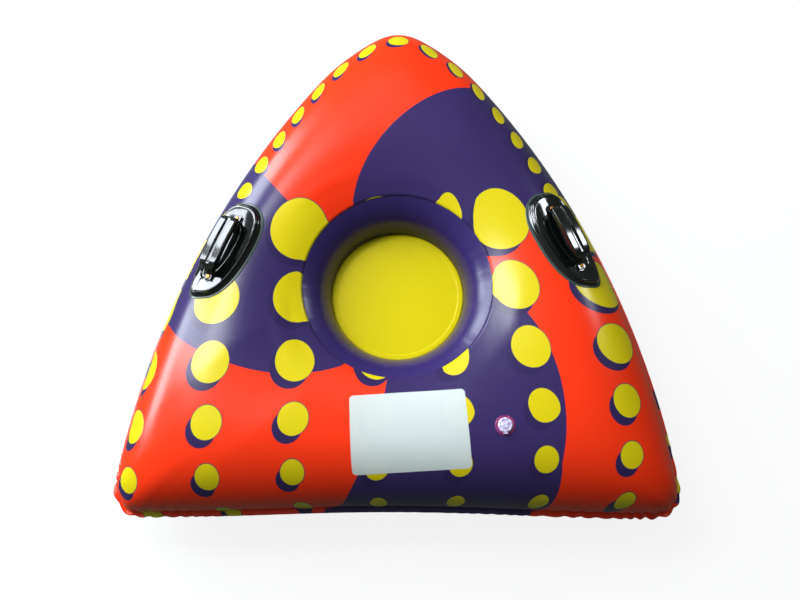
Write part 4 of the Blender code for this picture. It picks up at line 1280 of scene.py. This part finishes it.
def add_barrel(bm, radius, y, z):
    """Adds the round bar of a hinge, along X, in mm."""
    place = Matrix.Translation(Vector((0, y, z)) * MM) @ Matrix.Rotation(math.pi / 2, 4, "Y")
    bmesh.ops.create_cone(bm, cap_ends=True, segments=20, radius1=radius * MM, radius2=radius * MM,
                          depth=4.4 * MM, matrix=place)


CAP_HINGE = (-15.7, 3.8)  # y and z of the hinge, from the middle of the valve's seat
CAP_LINE = (
    (0, -8.0), (4.0, -8.0), (4.7, -7.7), (4.9, -7.2), (6.0, -2.5), (6.2, -1.0), (12.5, -1.0),
    (12.8, -0.7), (12.8, 0.1), (12.6, 0.5), (12.0, 0.8), (9.8, 0.9), (9.2, 0.4), (8.4, 0.3),
    (7.4, 0.9), (6.0, 1.3), (3.0, 1.5), (0, 1.55),
)
hinge_y, hinge_z = CAP_HINGE
bm = turned_piece(CAP_LINE, lift=hinge_z)
add_block(bm, (-2.2, hinge_y, hinge_z - 0.5), (2.2, -9.7, hinge_z + 0.5), 0.2)
add_block(bm, (-3.0, 11.5, hinge_z - 0.7), (3.0, 13.9, hinge_z + 0.3), 0.3)
add_barrel(bm, 1.0, *CAP_HINGE)
cap = place_valve("valve_lid", bm, "valve_cap")

FLAP_HINGE = (11.4, -25.2)
FLAP_LINE = ((0, -0.1), (8.8, -0.1), (9.2, 0.2), (9.2, 0.7), (8.9, 0.9), (4.5, 0.9), (4.0, 0.7), (0, 0.7))
hinge_y, hinge_z = FLAP_HINGE
bm = turned_piece(FLAP_LINE, lift=hinge_z)
add_block(bm, (-2.2, 5.4, hinge_z - 0.1), (2.2, hinge_y, hinge_z + 0.8), 0.2)
add_barrel(bm, 0.9, *FLAP_HINGE)
flap = place_valve("valve_flap", bm, "valve_check_flap")
print("cap and flap made:", len(cap.data.polygons), "and", len(flap.data.polygons), "faces")

# %% [markdown]
# The stem and cap are clear soft vinyl, which looks milky with lavender where the tube shows through,
# and the ring under them is tinted magenta. A noise in the colour stands for that uneven show-through.

# %% Finishes of the valve


def clear_vinyl(name, pale, deep, roughness, **values):
    made, tree, shader = new_material(name, **values)
    surface = use_group(tree, VINYL, {"Roughness": roughness, "Scuffs": 0.05})
    cloud = noise(tree, here(tree), 170, 3, Distortion=0.8).ramp(3.4, -1.2)
    colour = blend_colors(tree, cloud, (*pale, 1), (*deep, 1))
    dress(tree, shader, colour, surface["Roughness"], surface["Height"], distance=0.6 * MM)
    return made


coat(clear_vinyl("valve_vinyl", (0.82, 0.80, 0.92), (0.42, 0.30, 0.62), 0.18,
                 Subsurface_Weight=0.15, Subsurface_Scale=0.004), stem, cap)
coat(clear_vinyl("flange_vinyl", (0.34, 0.05, 0.20), (0.16, 0.01, 0.07), 0.22), valve_ring)
coat(clear_vinyl("flap_vinyl", (0.74, 0.74, 0.80), (0.50, 0.48, 0.60), 0.25), flap)
print("valve finishes made")

# %% [markdown]
# ## The sheets as they are cut
# Before it is welded and blown up, every soft piece is a flat cut: two rounded triangles with a round
# hole for the skin, two curved strips for the well's wall, and a disc for the floor. The air pressure
# keeps all of them stretched.

# %% Flat sizes of the sheets


# %% Sizes before and after, and the end
size = {"cad": cad_box, "visual": [list(corner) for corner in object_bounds()]}
print("box", size["visual"])
